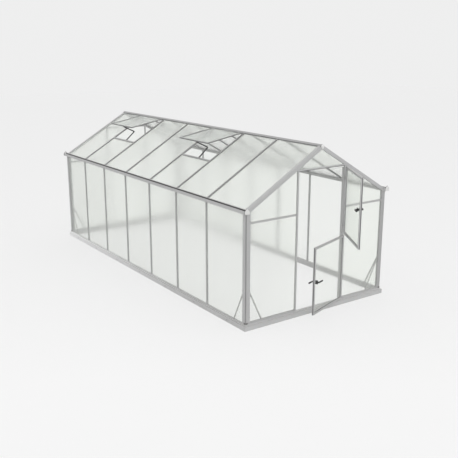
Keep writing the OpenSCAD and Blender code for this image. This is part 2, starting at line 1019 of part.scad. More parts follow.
front_base_rail();
back_base_rail();
left_base_rail();
right_base_rail();
front_left_post();
front_right_post();
back_left_post();
back_right_post();
left_gutter();
right_gutter();
ridge_beam();
front_rafters();
back_rafters();
eave_caps();
ridge_caps();
left_wall_bars();
right_wall_bars();
left_roof_bars();
right_roof_bars();
door_posts();
door_header();
front_transoms();
back_wall_posts();
back_transoms();
left_wall_panels();
right_wall_panels();
left_roof_panels();
right_roof_panels();
front_gable_panels();
back_gable_panels();
corner_braces();
vent_curbs();
vent_sash_stiles();
vent_sash_rails();
vent_panes();
vent_openers();
door_hinge_pins();
lower_door_stiles();
lower_door_rails();
lower_door_panel();
lower_door_fittings();
lower_door_spindle();
lower_door_levers();
upper_door_stiles();
upper_door_rails();
upper_door_panel();
upper_door_fittings();
upper_door_spindle();
upper_door_levers();
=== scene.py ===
"""Dresses the greenhouse: finishes, fastenings, seals, handles, caps, floor, lamps and camera."""
import sys
import json
import logging
import math
from dataclasses import dataclass
from enum import Enum
from functools import cache

import bmesh
import bpy
from bpy.types import Material, Node, NodeSocket, NodeTree, Object
from mathutils import Matrix, Vector


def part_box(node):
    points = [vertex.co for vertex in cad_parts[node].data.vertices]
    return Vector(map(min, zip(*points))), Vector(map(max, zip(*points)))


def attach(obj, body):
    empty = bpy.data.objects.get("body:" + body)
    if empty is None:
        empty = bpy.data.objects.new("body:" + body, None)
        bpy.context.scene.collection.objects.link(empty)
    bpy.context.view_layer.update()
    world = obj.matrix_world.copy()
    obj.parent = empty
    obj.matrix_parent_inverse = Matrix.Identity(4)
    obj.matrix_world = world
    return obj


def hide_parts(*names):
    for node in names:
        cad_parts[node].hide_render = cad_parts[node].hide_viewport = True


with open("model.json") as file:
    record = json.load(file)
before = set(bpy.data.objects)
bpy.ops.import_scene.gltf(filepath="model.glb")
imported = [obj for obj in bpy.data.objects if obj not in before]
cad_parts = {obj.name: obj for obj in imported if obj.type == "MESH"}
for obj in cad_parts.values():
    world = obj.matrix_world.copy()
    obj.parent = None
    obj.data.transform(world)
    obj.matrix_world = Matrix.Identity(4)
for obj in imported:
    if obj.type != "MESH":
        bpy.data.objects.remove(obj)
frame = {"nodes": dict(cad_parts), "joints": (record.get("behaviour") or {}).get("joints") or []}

BMesh = bmesh.types.BMesh
Colour = tuple[float, float, float]
Heads = list[tuple[Vector, Vector]]
Line = tuple[list[Vector], list[tuple[int, ...]]]

LOG = logging.getLogger("greenhouse")
PITCH = math.radians(30.4)
VENT_ANGLE = math.radians(20.4)
ACROSS, ALONG, UP = Vector((1, 0, 0)), Vector((0, 1, 0)), Vector((0, 0, 1))
# How far a small piece reaches into what it sits on, and how far it ends short of an edge.
LAP, NEAR, CLEAR = 0.0005, 0.001, 0.002
# Places closer than this count as one.
SAME_PLACE = 1e-5
CORNER_POSTS = ("front_left_post", "front_right_post", "back_left_post", "back_right_post")


class Slot(Enum):
    """Material slots of the record."""

    ALUMINIUM = "frame_aluminium"
    BASE = "base_rail_metal"
    CAP = "white_cap"
    PLASTIC = "black_plastic"
    STEEL = "hinge_steel"


class Body(Enum):
    """Bodies that pieces ride on."""

    HOUSE = "house"
    LOWER_LEAF = "lower_leaf"
    LOWER_HANDLE = "lower_handle"
    UPPER_LEAF = "upper_leaf"
    UPPER_HANDLE = "upper_handle"


class Run(Enum):
    """Direction in which a profile was drawn, as a turn in degrees that lays that direction on X."""

    ACROSS = (0.0, 0.0, 0.0)
    ALONG = (0.0, 0.0, -90.0)
    UPRIGHT = (0.0, 90.0, 0.0)
    RIGHT_SLOPE = (0.0, -30.4, 0.0)
    LEFT_SLOPE = (0.0, 30.4, 0.0)


# ---- node helpers ----


class Graph:
    """Adds nodes to one node tree and links them."""

    def __init__(self, tree: NodeTree) -> None:
        """Keeps the tree that the nodes go into."""
        self.tree = tree

    def add(self, kind: str, inputs: dict | None = None, **settings: object) -> Node:
        """Adds a node.

        Args:
            kind: Blender's name of the node type.
            inputs: Values or sockets for the node's inputs, by name or number.
            settings: Attributes to set on the node.

        Returns:
            The new node.
        """
        node = self.tree.nodes.new(kind)
        for name, value in settings.items():
            setattr(node, name, value)
        for key, value in (inputs or {}).items():
            self.feed(node.inputs[key], value)
        return node

    def out(
        self, kind: str, inputs: dict | None = None, pick: int | str = 0, **settings: object,
    ) -> NodeSocket:
        """Adds a node as add does, and gives one of its outputs."""
        return self.add(kind, inputs, **settings).outputs[pick]

    def feed(self, socket: NodeSocket, value: object) -> None:
        """Links a socket to an input, or sets the input's own value.

        Args:
            socket: Input to feed.
            value: Output socket, or a plain value.
        """
        if isinstance(value, NodeSocket):
            self.tree.links.new(value, socket)
        else:
            socket.default_value = value

    def declare(self, label: str, way: str, kind: str) -> bpy.types.NodeTreeInterfaceSocket:
        """Adds an input or an output to the tree's own interface."""
        return self.tree.interface.new_socket(label, in_out=way, socket_type=f"NodeSocket{kind}")

    def math(self, operation: str, *values: object, clamp: bool = False) -> NodeSocket:
        """Adds a Math node for up to three numbers or sockets."""
        return self.out("ShaderNodeMath", dict(enumerate(values)), operation=operation, use_clamp=clamp)

    def times(self, first: object, second: object) -> NodeSocket:
        """Multiplies two numbers or sockets."""
        return self.math("MULTIPLY", first, second)

    def plus(self, first: object, second: object) -> NodeSocket:
        """Adds two numbers or sockets."""
        return self.math("ADD", first, second)

    def mix(self, share: object, first: object, second: object) -> NodeSocket:
        """Mixes two colours, with this share of the second."""
        return self.out("ShaderNodeMix", {0: share, 6: first, 7: second}, 2, data_type="RGBA")

    def remap(
        self, value: NodeSocket, source: tuple[float, float], target: tuple[float, float] = (0.0, 1.0),
    ) -> NodeSocket:
        """Maps one range of numbers onto another, clamped."""
        return self.out("ShaderNodeMapRange", dict(enumerate((value, *source, *target))))

    def axis(self, vector: NodeSocket, name: str) -> NodeSocket:
        """Gives a vector's X, Y or Z."""
        return self.out("ShaderNodeSeparateXYZ", {0: vector}, name)

    def noise(self, place: NodeSocket, scale: object, detail: float, roughness: float = 0.5) -> NodeSocket:
        """Adds a noise pattern."""
        inputs = {"Vector": place, "Scale": scale, "Detail": detail, "Roughness": roughness}
        return self.out("ShaderNodeTexNoise", inputs)

    def seen(self) -> NodeSocket:
        """Marks rays that come from the camera, straight, by gloss or through a sheet.

        Returns:
            Socket that is 1 for those rays.
        """
        rays = self.add("ShaderNodeLightPath").outputs
        bent = self.math("MAXIMUM", rays["Is Glossy Ray"], rays["Is Transmission Ray"])
        return self.math("MAXIMUM", rays["Is Camera Ray"], bent)


def shade(colour: Colour, factor: float = 1.0, lift: float = 0.0) -> tuple[float, ...]:
    """Scales and lifts a colour, at most to 1, and makes it opaque."""
    return (*[min(1.0, c * factor + lift) for c in colour], 1.0)


def grey(level: float) -> Colour:
    """Gives a plain grey."""
    return (level, level, level)


# ---- shared effects ----


class Effect(Graph):
    """Shader group with a vector input named Place, and number inputs and outputs."""

    def __init__(self, name: str, inputs: dict[str, float], outputs: tuple[str, ...]) -> None:
        """Starts the group.

        Args:
            name: Name of the group.
            inputs: Number inputs with their defaults.
            outputs: Names of the number outputs.
        """
        super().__init__(bpy.data.node_groups.new(name, "ShaderNodeTree"))
        for label, value in inputs.items():
            self.declare(label, "INPUT", "Float").default_value = value
        self.declare("Place", "INPUT", "Vector")
        for label in outputs:
            self.declare(label, "OUTPUT", "Float")
        self.given = self.add("NodeGroupInput").outputs
        self.result = self.add("NodeGroupOutput").inputs


@cache
def drawn_grain() -> NodeTree:
    """Builds streaks along X out of a fine and a coarse noise.

    Returns:
        The group.
    """
    coarseness, fine_share, coarse_share = 0.21, 0.6, 0.4
    group = Effect("drawn_grain", {"Fineness": 900.0, "Length": 0.02}, ("Streak",))
    fineness = group.given["Fineness"]
    squeeze = group.out("ShaderNodeCombineXYZ", {0: group.given["Length"], 1: 1.0, 2: 1.0})
    place = group.out("ShaderNodeVectorMath", {0: group.given["Place"], 1: squeeze}, operation="MULTIPLY")
    fine = group.noise(place, fineness, detail=3.0)
    coarse = group.noise(place, group.times(fineness, coarseness), detail=1.0)
    both = group.plus(group.times(fine, fine_share), group.times(coarse, coarse_share))
    group.feed(group.result["Streak"], group.remap(both, (0.32, 0.68)))
    return group.tree


@cache
def weather_mottle() -> NodeTree:
    """Builds wide soft clouds and small sharp spots.

    Returns:
        The group.
    """
    group = Effect("weather_mottle", {"Size": 3.0, "Spots": 40.0}, ("Cloud", "Spot"))
    cloud = group.noise(group.given["Place"], group.given["Size"], detail=4.0)
    spot = group.noise(group.given["Place"], group.given["Spots"], detail=3.0, roughness=0.65)
    group.feed(group.result["Cloud"], group.remap(cloud, (0.35, 0.65)))
    group.feed(group.result["Spot"], group.remap(spot, (0.58, 0.72)))
    return group.tree


@cache
def settled_dust() -> NodeTree:
    """Builds dust that splashes up from the ground and lies on faces that look up.

    Returns:
        The group.
    """
    group = Effect("settled_dust", {"Height": 0.35, "Lying": 0.5}, ("Amount",))
    place = group.given["Place"]
    height = group.math("DIVIDE", group.axis(place, "Z"), group.given["Height"])
    splash = group.math("POWER", group.math("SUBTRACT", 1.0, height, clamp=True), 2.0)
    normal = group.out("ShaderNodeNewGeometry", pick="True Normal")
    lying = group.times(group.remap(group.axis(normal, "Z"), (0.5, 1.0)), group.given["Lying"])
    patches = group.noise(place, scale=14.0, detail=5.0)
    broken = group.remap(patches, (0.38, 0.66), (0.25, 1.0))
    amount = group.math("MULTIPLY", group.math("MAXIMUM", splash, lying), broken, clamp=True)
    group.feed(group.result["Amount"], amount)
    return group.tree


# ---- finishes ----


class Coat(Graph):
    """Node material with its Principled shader and the object coordinates."""

    def __init__(self, name: str) -> None:
        """Starts the material.

        Args:
            name: Name of the material.
        """
        self.material = bpy.data.materials.new(name)
        self.material.use_nodes = True
        super().__init__(self.material.node_tree)
        kinds = {node.type: node for node in self.tree.nodes}
        self.shader = kinds["BSDF_PRINCIPLED"]
        self.surface = kinds["OUTPUT_MATERIAL"].inputs["Surface"]
        self.place = self.out("ShaderNodeTexCoord", pick="Object")

    def effect(
        self, tree: NodeTree, place: NodeSocket | None = None, **values: float,
    ) -> bpy.types.NodeOutputs:
        """Places a shared effect, on the object coordinates unless told otherwise.

        Args:
            tree: Shader group of the effect.
            place: Coordinates for it.
            values: Its number inputs, by name.

        Returns:
            Its outputs.
        """
        inputs = {"Place": place or self.place, **values}
        return self.add("ShaderNodeGroup", inputs, node_tree=tree).outputs

    def set(self, label: str, value: object) -> None:
        """Feeds one input of the shader."""
        self.feed(self.shader.inputs[label], value)

    def bump(self, height: NodeSocket, strength: float, distance: float) -> None:
        """Raises the surface by a pattern."""
        inputs = {"Strength": strength, "Distance": distance, "Height": height}
        self.set("Normal", self.out("ShaderNodeBump", inputs))


@dataclass(frozen=True)
class DrawnMetal:
    """Mill-finish profile or folded sheet with grain along its run, dull patches and dust."""

    name: str
    colour: Colour
    run: Run
    turn_deg: float = 0.0
    metallic: float = 0.55
    roughness: float = 0.42
    grain: float = 0.06
    dust: float = 0.18
    bleach: float = 0.0
    bleach_start: float = 1.2
    bleach_end: float = 5.3
    oxide: float = 0.93
    oxide_share: float = 0.5
    pit_share: float = 0.12
    pit_colour: Colour = (0.62, 0.62, 0.60)
    dust_colour: Colour = (0.52, 0.51, 0.49)

    def make(self) -> Material:
        """Builds the material.

        Returns:
            The material.
        """
        coat = Coat(self.name)
        x, y, z = self.run.value
        turn = [math.radians(angle) for angle in (x, y, z - self.turn_deg)]
        laid = coat.out("ShaderNodeMapping", {"Vector": coat.place, "Rotation": turn})
        streak = coat.effect(drawn_grain(), laid)["Streak"]
        mottle = coat.effect(weather_mottle())
        amount = coat.times(coat.effect(settled_dust())["Amount"], self.dust)
        base = coat.mix(streak, shade(self.colour, 1.0 - self.grain), shade(self.colour, 1.0 + self.grain))
        base = coat.mix(coat.times(mottle["Cloud"], self.oxide_share), base, shade(self.colour, self.oxide))
        base = coat.mix(coat.times(mottle["Spot"], self.pit_share), base, shade(self.pit_colour))
        base = coat.mix(amount, base, shade(self.dust_colour))
        # The colour turns lighter towards the back of the house, over a stretch of Y.
        if self.bleach:
            reach = coat.axis(coat.place, "Y")
            share = coat.remap(reach, (self.bleach_start, self.bleach_end), (0.0, self.bleach))
            base = coat.mix(share, base, shade(grey(0.95)))
        coat.set("Base Color", base)
        rough = coat.plus(self.roughness, coat.times(streak, 0.08))
        rough = coat.plus(rough, coat.times(mottle["Cloud"], 0.06))
        coat.set("Roughness", coat.math("ADD", rough, coat.times(amount, 0.4), clamp=True))
        coat.set("Metallic", coat.times(coat.math("SUBTRACT", 1.0, amount), self.metallic))
        coat.bump(streak, strength=0.12, distance=0.0004)
        return coat.material


@dataclass(frozen=True)
class TwinWall:
    """Frosted twin-wall sheet: near things show through it, far ones blur, and flutes run along it."""

    name: str
    across: Colour = (0.0, 1.0, 0.0)
    colour: Colour = (0.985, 0.998, 0.978)
    roughness: float = 0.17
    veil: float = 0.08
    ior: float = 1.15
    left_painted_shade: float = 0.0
    pitch: float = 0.0105
    web_share: float = 0.11
    web_tint: float = 0.45
    cloud_tint: float = 0.25
    dust: float = 0.10
    shadow: float = 0.985
    dust_colour: Colour = (0.80, 0.79, 0.75)

    def make(self) -> Material:
        """Builds the material.

        Returns:
            The material.
        """
        coat = Coat(self.name)
        cloud = coat.effect(weather_mottle(), Size=1.4)["Cloud"]
        amount = coat.times(coat.effect(settled_dust(), Height=0.5, Lying=0.1)["Amount"], self.dust)
        lie = {0: coat.place, 1: self.across}
        along = coat.out("ShaderNodeVectorMath", lie, "Value", operation="DOT_PRODUCT")
        wave = coat.math("PINGPONG", along, self.pitch / 2)
        web = coat.remap(wave, (0.0, self.pitch * self.web_share), (1.0, 0.0))
        base = coat.mix(coat.times(web, self.web_tint), shade(self.colour), shade(self.colour, 0.95))
        base = coat.mix(coat.times(cloud, self.cloud_tint), base, shade(self.colour, 0.985))
        # Painted shade: the sheet is painted darker towards the left, where X goes below -0.3.
        if self.left_painted_shade:
            share = coat.remap(coat.axis(coat.place, "X"), (-0.3, -0.9), (0.0, self.left_painted_shade))
            base = coat.mix(share, base, shade(grey(0.45)))
        coat.set("Base Color", coat.mix(amount, base, shade(self.dust_colour)))
        rough = coat.plus(self.roughness, coat.times(cloud, 0.03))
        coat.set("Roughness", coat.plus(rough, coat.times(amount, 0.3)))
        coat.set("Transmission Weight", 1.0 - self.veil)
        coat.set("IOR", self.ior)
        coat.bump(web, strength=0.10, distance=0.0006)
        in_shadow = coat.out("ShaderNodeLightPath", pick="Is Shadow Ray")
        clear = coat.out("ShaderNodeBsdfTransparent", {"Color": shade(grey(self.shadow))})
        shaders = {0: in_shadow, 1: coat.shader.outputs[0], 2: clear}
        coat.feed(coat.surface, coat.out("ShaderNodeMixShader", shaders))
        return coat.material


@dataclass(frozen=True)
class Moulded:
    """Moulded plastic or rubber with a fine pebble, scuffs and dust."""

    name: str
    colour: Colour
    roughness: float = 0.6
    dust: float = 0.2
    scuff: float = 0.2
    pebble: float = 1400.0
    dust_colour: Colour = (0.55, 0.53, 0.49)

    def make(self) -> Material:
        """Builds the material.

        Returns:
            The material.
        """
        coat = Coat(self.name)
        mottle = coat.effect(weather_mottle(), Size=30.0, Spots=260.0)
        amount = coat.times(coat.effect(settled_dust())["Amount"], self.dust)
        worn = shade(self.colour, 0.8, 0.06)
        base = coat.mix(coat.times(mottle["Spot"], self.scuff), shade(self.colour), worn)
        coat.set("Base Color", coat.mix(amount, base, shade(self.dust_colour)))
        coat.set("Roughness", coat.plus(self.roughness, coat.times(mottle["Cloud"], 0.12)))
        coat.bump(coat.noise(coat.place, self.pebble, detail=2.0), strength=0.15, distance=0.0003)
        return coat.material


@dataclass(frozen=True)
class FloorCoat:
    """Plain pale floor that keeps the shadow and shows the camera a bright ground."""

    albedo: float = 0.23
    glow: float = 0.685
    far_glow: float = 0.60

    def make(self) -> Material:
        """Builds the material.

        Returns:
            The material.
        """
        coat = Coat("pale_floor")
        coat.set("Base Color", shade(grey(self.albedo)))
        coat.set("Roughness", 0.9)
        coat.set("Specular IOR Level", 0.1)
        facing = coat.out("ShaderNodeLayerWeight", {"Blend": 0.5}, "Facing")
        level = coat.remap(facing, (0.55, 0.92), (self.glow, self.far_glow))
        glow = coat.out("ShaderNodeEmission", {"Strength": coat.times(coat.seen(), level)})
        coat.feed(coat.surface, coat.out("ShaderNodeAddShader", {0: coat.shader.outputs[0], 1: glow}))
        return coat.material


class Finishes:
    """All finishes of the greenhouse, built once."""

    def __init__(self) -> None:
        """Builds the finishes that don't depend on a leaf's turn."""
        self.metal = self.family("aluminium", 0.46, Run.ALONG, Run.UPRIGHT)
        # Painted shade: the roof and sash aluminium are painted darker than the wall aluminium.
        self.roof_metal_painted_shade = self.family("roof_aluminium_painted_shade", 0.34, Run.LEFT_SLOPE, Run.RIGHT_SLOPE)
        self.sash_metal_painted_shade = self.family("sash_aluminium_painted_shade", 0.26, Run.ALONG, Run.LEFT_SLOPE)
        # Painted light: the gable aluminium is painted lighter than the wall aluminium.
        self.gable_metal_painted_light = self.family("gable_aluminium", 0.54, Run.ACROSS, Run.UPRIGHT, Run.RIGHT_SLOPE)
        self.base = self.family("base_metal", 0.60, Run.ACROSS, dust=0.25)
        self.base |= self.family("base_metal", 0.60, Run.ALONG, dust=0.25, bleach=0.75)
        self.gutter = DrawnMetal("gutter_aluminium", grey(0.54), Run.ALONG).make()
        self.ridge = DrawnMetal("ridge_aluminium", grey(0.43), Run.ALONG).make()
        plated = {"metallic": 0.8, "roughness": 0.36}
        self.steel = DrawnMetal("zinc_plated_steel", (0.36, 0.36, 0.37), Run.UPRIGHT, **plated).make()
        painted = {"metallic": 0.6, "roughness": 0.4, "dust": 0.1}
        self.opener = DrawnMetal("opener_metal_bar", grey(0.07), Run.LEFT_SLOPE, **painted).make()
        # Painted shade: the left sheets and the sash panes are painted a darker tint than the right sheets.
        self.left_sheet_painted_shade = TwinWall("twin_wall_left_painted_shade", colour=(0.950, 0.965, 0.943), roughness=0.20).make()
        self.right_sheet = TwinWall("twin_wall_right", veil=0.04, ior=1.10, roughness=0.20).make()
        self.sash_sheet_painted_shade = TwinWall("twin_wall_sash_painted_shade", colour=(0.90, 0.925, 0.895)).make()
        # Painted shade: the gable sheets are painted darker towards the left.
        upright = {"veil": 0.05, "ior": 1.10, "roughness": 0.19, "left_painted_shade": 0.10}
        self.gable_sheet = TwinWall("twin_wall_gable", across=(1.0, 0.0, 0.0), **upright).make()
        self.cap = Moulded("white_cap_plastic", (0.80, 0.80, 0.79), roughness=0.4).make()
        self.black = Moulded("black_handle_plastic", grey(0.028), roughness=0.38, dust=0.1).make()
        self.rubber = Moulded("grey_rubber_seal", grey(0.16)).make()
        self.pale_rubber = Moulded("pale_rubber_seal", grey(0.33)).make()
        self.light_rubber = Moulded("light_rubber_strip", (0.50, 0.50, 0.49)).make()
        self.black_rubber = Moulded("black_rubber_seal", grey(0.095), roughness=0.55, dust=0.1).make()

    def family(self, prefix: str, level: float, *runs: Run, **settings: float) -> dict[Run, Material]:
        """Builds one metal for each direction that its profiles run in.

        Args:
            prefix: Start of the materials' names.
            level: Grey of the metal.
            runs: Directions.
            settings: Other values of the metal.

        Returns:
            The materials, by direction.
        """
        names = {run: f"{prefix}_{run.name.lower()}" for run in runs}
        return {run: DrawnMetal(name, grey(level), run, **settings).make() for run, name in names.items()}

    def leaf_metal(self, name: str, run: Run, turn_deg: float) -> Material:
        """Builds aluminium for a leaf that is turned about the vertical."""
        return DrawnMetal(name, grey(0.52), run, turn_deg).make()

    def leaf_sheet(self, name: str, turn_deg: float) -> Material:
        """Builds twin-wall sheet for a leaf that is turned about the vertical."""
        turn = math.radians(turn_deg)
        return TwinWall(name, (math.cos(turn), math.sin(turn), 0.0), veil=0.03, ior=1.05).make()


# ---- mesh helpers ----


@dataclass(frozen=True)
class Solid:
    """Box round one closed solid of a CAD node."""

    low: Vector
    high: Vector

    @property
    def middle(self) -> Vector:
        """Middle of the box."""
        return (self.low + self.high) / 2

    @property
    def size(self) -> Vector:
        """Size of the box."""
        return self.high - self.low


def merged_copy(node: str) -> BMesh:
    """Copies a CAD node's mesh and joins its loose triangles.

    Args:
        node: Name of the node.

    Returns:
        The merged mesh.
    """
    work = bmesh.new()
    work.from_mesh(frame["nodes"][node].data)
    bmesh.ops.remove_doubles(work, verts=work.verts, dist=SAME_PLACE)
    return work


def solids(node: str, unturn: Matrix | None = None) -> list[Solid]:
    """Finds the closed solids of a CAD node.

    Args:
        node: Name of the node.
        unturn: Matrix that is applied before the boxes are taken.

    Returns:
        One box for each solid, in the order of its lowest corner.
    """
    work = merged_copy(node)
    if unturn:
        bmesh.ops.transform(work, matrix=unturn, verts=work.verts)
    left = set(work.verts)
    found = []
    while left:
        group, queue = [], [left.pop()]
        while queue:
            vert = queue.pop()
            group.append(vert.co.copy())
            near = {edge.other_vert(vert) for edge in vert.link_edges} & left
            left -= near
            queue += near
        low, high = (Vector([pick(co[i] for co in group) for i in range(3)]) for pick in (min, max))
        found.append(Solid(low, high))
    work.free()
    return sorted(found, key=lambda s: tuple(round(c, 4) for c in s.low))


def linked(name: str, mesh: bpy.types.Mesh) -> Object:
    """Makes an object of a mesh and links it to the scene."""
    piece = bpy.data.objects.new(name, mesh)
    bpy.context.scene.collection.objects.link(piece)
    return piece


def object_from(work: BMesh, name: str) -> Object:
    """Makes an object from a working mesh and frees it.

    Args:
        work: Working mesh.
        name: Name of the object.

    Returns:
        The object.
    """
    mesh = bpy.data.meshes.new(name)
    work.to_mesh(mesh)
    work.free()
    return linked(name, mesh)


def bake(piece: Object) -> None:
    """Turns a piece with modifiers into a plain mesh.

    Args:
        piece: Object to bake.
    """
    bpy.context.view_layer.update()
    seen = piece.evaluated_get(bpy.context.evaluated_depsgraph_get())
    mesh = bpy.data.meshes.new_from_object(seen)
    mesh.name = piece.name
    piece.modifiers.clear()
    piece.data = mesh


def finish_piece(
    piece: Object, material: Material | None = None, body: Body = Body.HOUSE,
    replaced: tuple[str, ...] = (),
) -> None:
    """Puts a piece on its body.

    Args:
        piece: Object at the origin.
        material: Material for the whole piece, if it has none yet.
        body: Body that it rides on.
        replaced: CAD nodes that it stands for.
    """
    if material is not None:
        piece.data.materials.clear()
        piece.data.materials.append(material)
    if replaced:
        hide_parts(*replaced)
    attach(piece, body.value)
    LOG.info("piece %s: %d faces on %s", piece.name, len(piece.data.polygons), body.value)


def rounded(node: str, radius: float) -> Object:
    """Makes a copy of a CAD node with rounded edges.

    Args:
        node: Name of the node.
        radius: Radius of the edges in metres.

    Returns:
        The piece, at the origin.
    """
    work = merged_copy(node)
    bmesh.ops.dissolve_limit(work, angle_limit=math.radians(1.0), verts=work.verts, edges=work.edges)
    piece = object_from(work, f"{node}_rounded")
    bevel = piece.modifiers.new("rounding", "BEVEL")
    bevel.width = radius
    bevel.segments = 2
    bevel.limit_method = "ANGLE"
    bevel.angle_limit = math.radians(35.0)
    bevel.use_clamp_overlap = True
    bake(piece)
    for face in piece.data.polygons:
        face.use_smooth = False
    return piece


def prism(work: BMesh, low: Vector, high: Vector) -> None:
    """Adds a box to a working mesh.

    Args:
        work: Working mesh.
        low: Lowest corner.
        high: Highest corner.
    """
    made = bmesh.ops.create_cube(work, size=1.0)
    place = Matrix.Translation((low + high) / 2) @ Matrix.Diagonal((*(high - low), 1.0))
    bmesh.ops.transform(work, matrix=place, verts=made["verts"])


def strip(name: str, low: Vector, high: Vector, edge: float, turned: Matrix | None = None) -> Object:
    """Makes a thin straight strip with rounded edges.

    Args:
        name: Name of the piece.
        low: Lowest corner.
        high: Highest corner.
        edge: Radius of the edges.
        turned: Matrix that takes it to its place.

    Returns:
        The piece.
    """
    work = bmesh.new()
    prism(work, low, high)
    bmesh.ops.bevel(work, geom=work.edges, offset=edge, segments=2, affect="EDGES")
    bmesh.ops.transform(work, matrix=turned or Matrix(), verts=work.verts)
    return object_from(work, name)


def flattened(left: bool) -> Matrix:
    """Gives the turn that lays the left or the right slope of the roof level."""
    return Matrix.Rotation(PITCH if left else -PITCH, 4, "Y")


def leaning(angle: float) -> Vector:
    """Gives the upward direction that leans to the right by an angle."""
    return Vector((math.sin(angle), 0, math.cos(angle)))


def outlines(node: str, *ways: Vector, shortest: float = 0.05, inner: bool = False) -> Line:
    """Finds the edges round the faces of a node that look in some directions.

    Args:
        node: Name of the node.
        ways: Directions.
        shortest: Shortest edge that counts.
        inner: Whether only faces that look to the node's middle count.

    Returns:
        Points, and pairs of their numbers.
    """
    work = merged_copy(node)
    work.normal_update()
    low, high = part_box(node)
    known, pairs = {}, []
    for way in ways:
        for edge in work.edges:
            rim = sorted(face.normal.dot(way) > 0.99 for face in edge.link_faces) == [False, True]
            outer = (edge.verts[0].co - (low + high) / 2).dot(way) > 0
            if rim and edge.calc_length() >= shortest and not (inner and outer):
                pairs.append(tuple(known.setdefault(vert, len(known)) for vert in edge.verts))
    points = [vert.co.copy() for vert in known]
    work.free()
    return points, pairs


def segments(ends: list[tuple[Vector, Vector]]) -> Line:
    """Gives separate straight lines as points and pairs of their numbers."""
    return [place for pair in ends for place in pair], [(2 * k, 2 * k + 1) for k in range(len(ends))]


def circle(sides: int) -> list[tuple[float, float]]:
    """Gives the cosine and sine of even turns round a circle."""
    turns = [2 * math.pi * i / sides for i in range(sides)]
    return [(math.cos(turn), math.sin(turn)) for turn in turns]


def skin(work: BMesh, rings: list[list[Vector]]) -> None:
    """Adds a closed shell over rings of as many points each.

    Args:
        work: Working mesh.
        rings: Rings in order.
    """
    loops = [[work.verts.new(point) for point in ring] for ring in rings]
    sides = len(loops[0])
    for first, second in zip(loops, loops[1:]):
        for i in range(sides):
            j = (i + 1) % sides
            work.faces.new((first[i], first[j], second[j], second[i]))
    for end in (loops[0], loops[-1]):
        work.faces.new(end)


def tube(work: BMesh, path: list[Vector], radii: list[tuple[float, float]], sides: int = 16) -> None:
    """Adds a closed tube with oval rings along a path that lies level.

    Args:
        work: Working mesh.
        path: Middles of the rings.
        radii: Level and upright radius of each ring.
        sides: Points of a ring.
    """
    rings = []
    for k, (middle, (wide, high)) in enumerate(zip(path, radii)):
        ahead = (path[min(k + 1, len(path) - 1)] - path[max(k - 1, 0)]).normalized()
        level = ahead.cross(UP).normalized()
        rings.append([middle + level * wide * x + UP * (high * y) for x, y in circle(sides)])
    skin(work, rings)


def smooth_piece(work: BMesh, name: str, turned: Matrix) -> Object:
    """Turns a working mesh into place and makes a smooth object of it.

    Args:
        work: Working mesh.
        name: Name of the object.
        turned: Matrix that takes it to its place.

    Returns:
        The object.
    """
    bmesh.ops.transform(work, matrix=turned, verts=work.verts)
    bmesh.ops.recalc_face_normals(work, faces=work.faces)
    for face in work.faces:
        face.smooth = True
    return object_from(work, name)


# ---- fastenings and seals by geometry nodes ----


class Maker:
    """Geometry node tree with named inputs that makes a plain, coated mesh of points or edges."""

    def __init__(self, name: str, inputs: dict[str, str]) -> None:
        """Starts the tree.

        Args:
            name: Name of the tree.
            inputs: Socket type of each named input.
        """
        self.tree = bpy.data.node_groups.new(name, "GeometryNodeTree")
        self.graph = Graph(self.tree)
        self.graph.declare("Geometry", "INPUT", "Geometry")
        self.sockets = {}
        for label, kind in {**inputs, "Material": "Material"}.items():
            self.sockets[label] = self.graph.declare(label, "INPUT", kind).identifier
        self.graph.declare("Geometry", "OUTPUT", "Geometry")
        self.given = self.graph.add("NodeGroupInput").outputs

    def end(self, shapes: NodeSocket) -> None:
        """Ends the tree: makes the shapes real, coats them and hands them out.

        Args:
            shapes: Geometry to hand out.
        """
        real = self.graph.out("GeometryNodeRealizeInstances", {0: shapes})
        coated = {"Geometry": real, "Material": self.given["Material"]}
        self.graph.add("NodeGroupOutput", {0: self.graph.out("GeometryNodeSetMaterial", coated)})

    def run(self, mesh: bpy.types.Mesh, values: dict[str, object]) -> Object:
        """Runs the tree on a mesh.

        Args:
            mesh: Points or edges, under the piece's name.
            values: Values of the named inputs.

        Returns:
            The piece, as a plain mesh.
        """
        piece = linked(mesh.name, mesh)
        modifier = piece.modifiers.new("shapes", "NODES")
        modifier.node_group = self.tree
        for label, value in values.items():
            modifier[self.sockets[label]] = value
        bake(piece)
        return piece


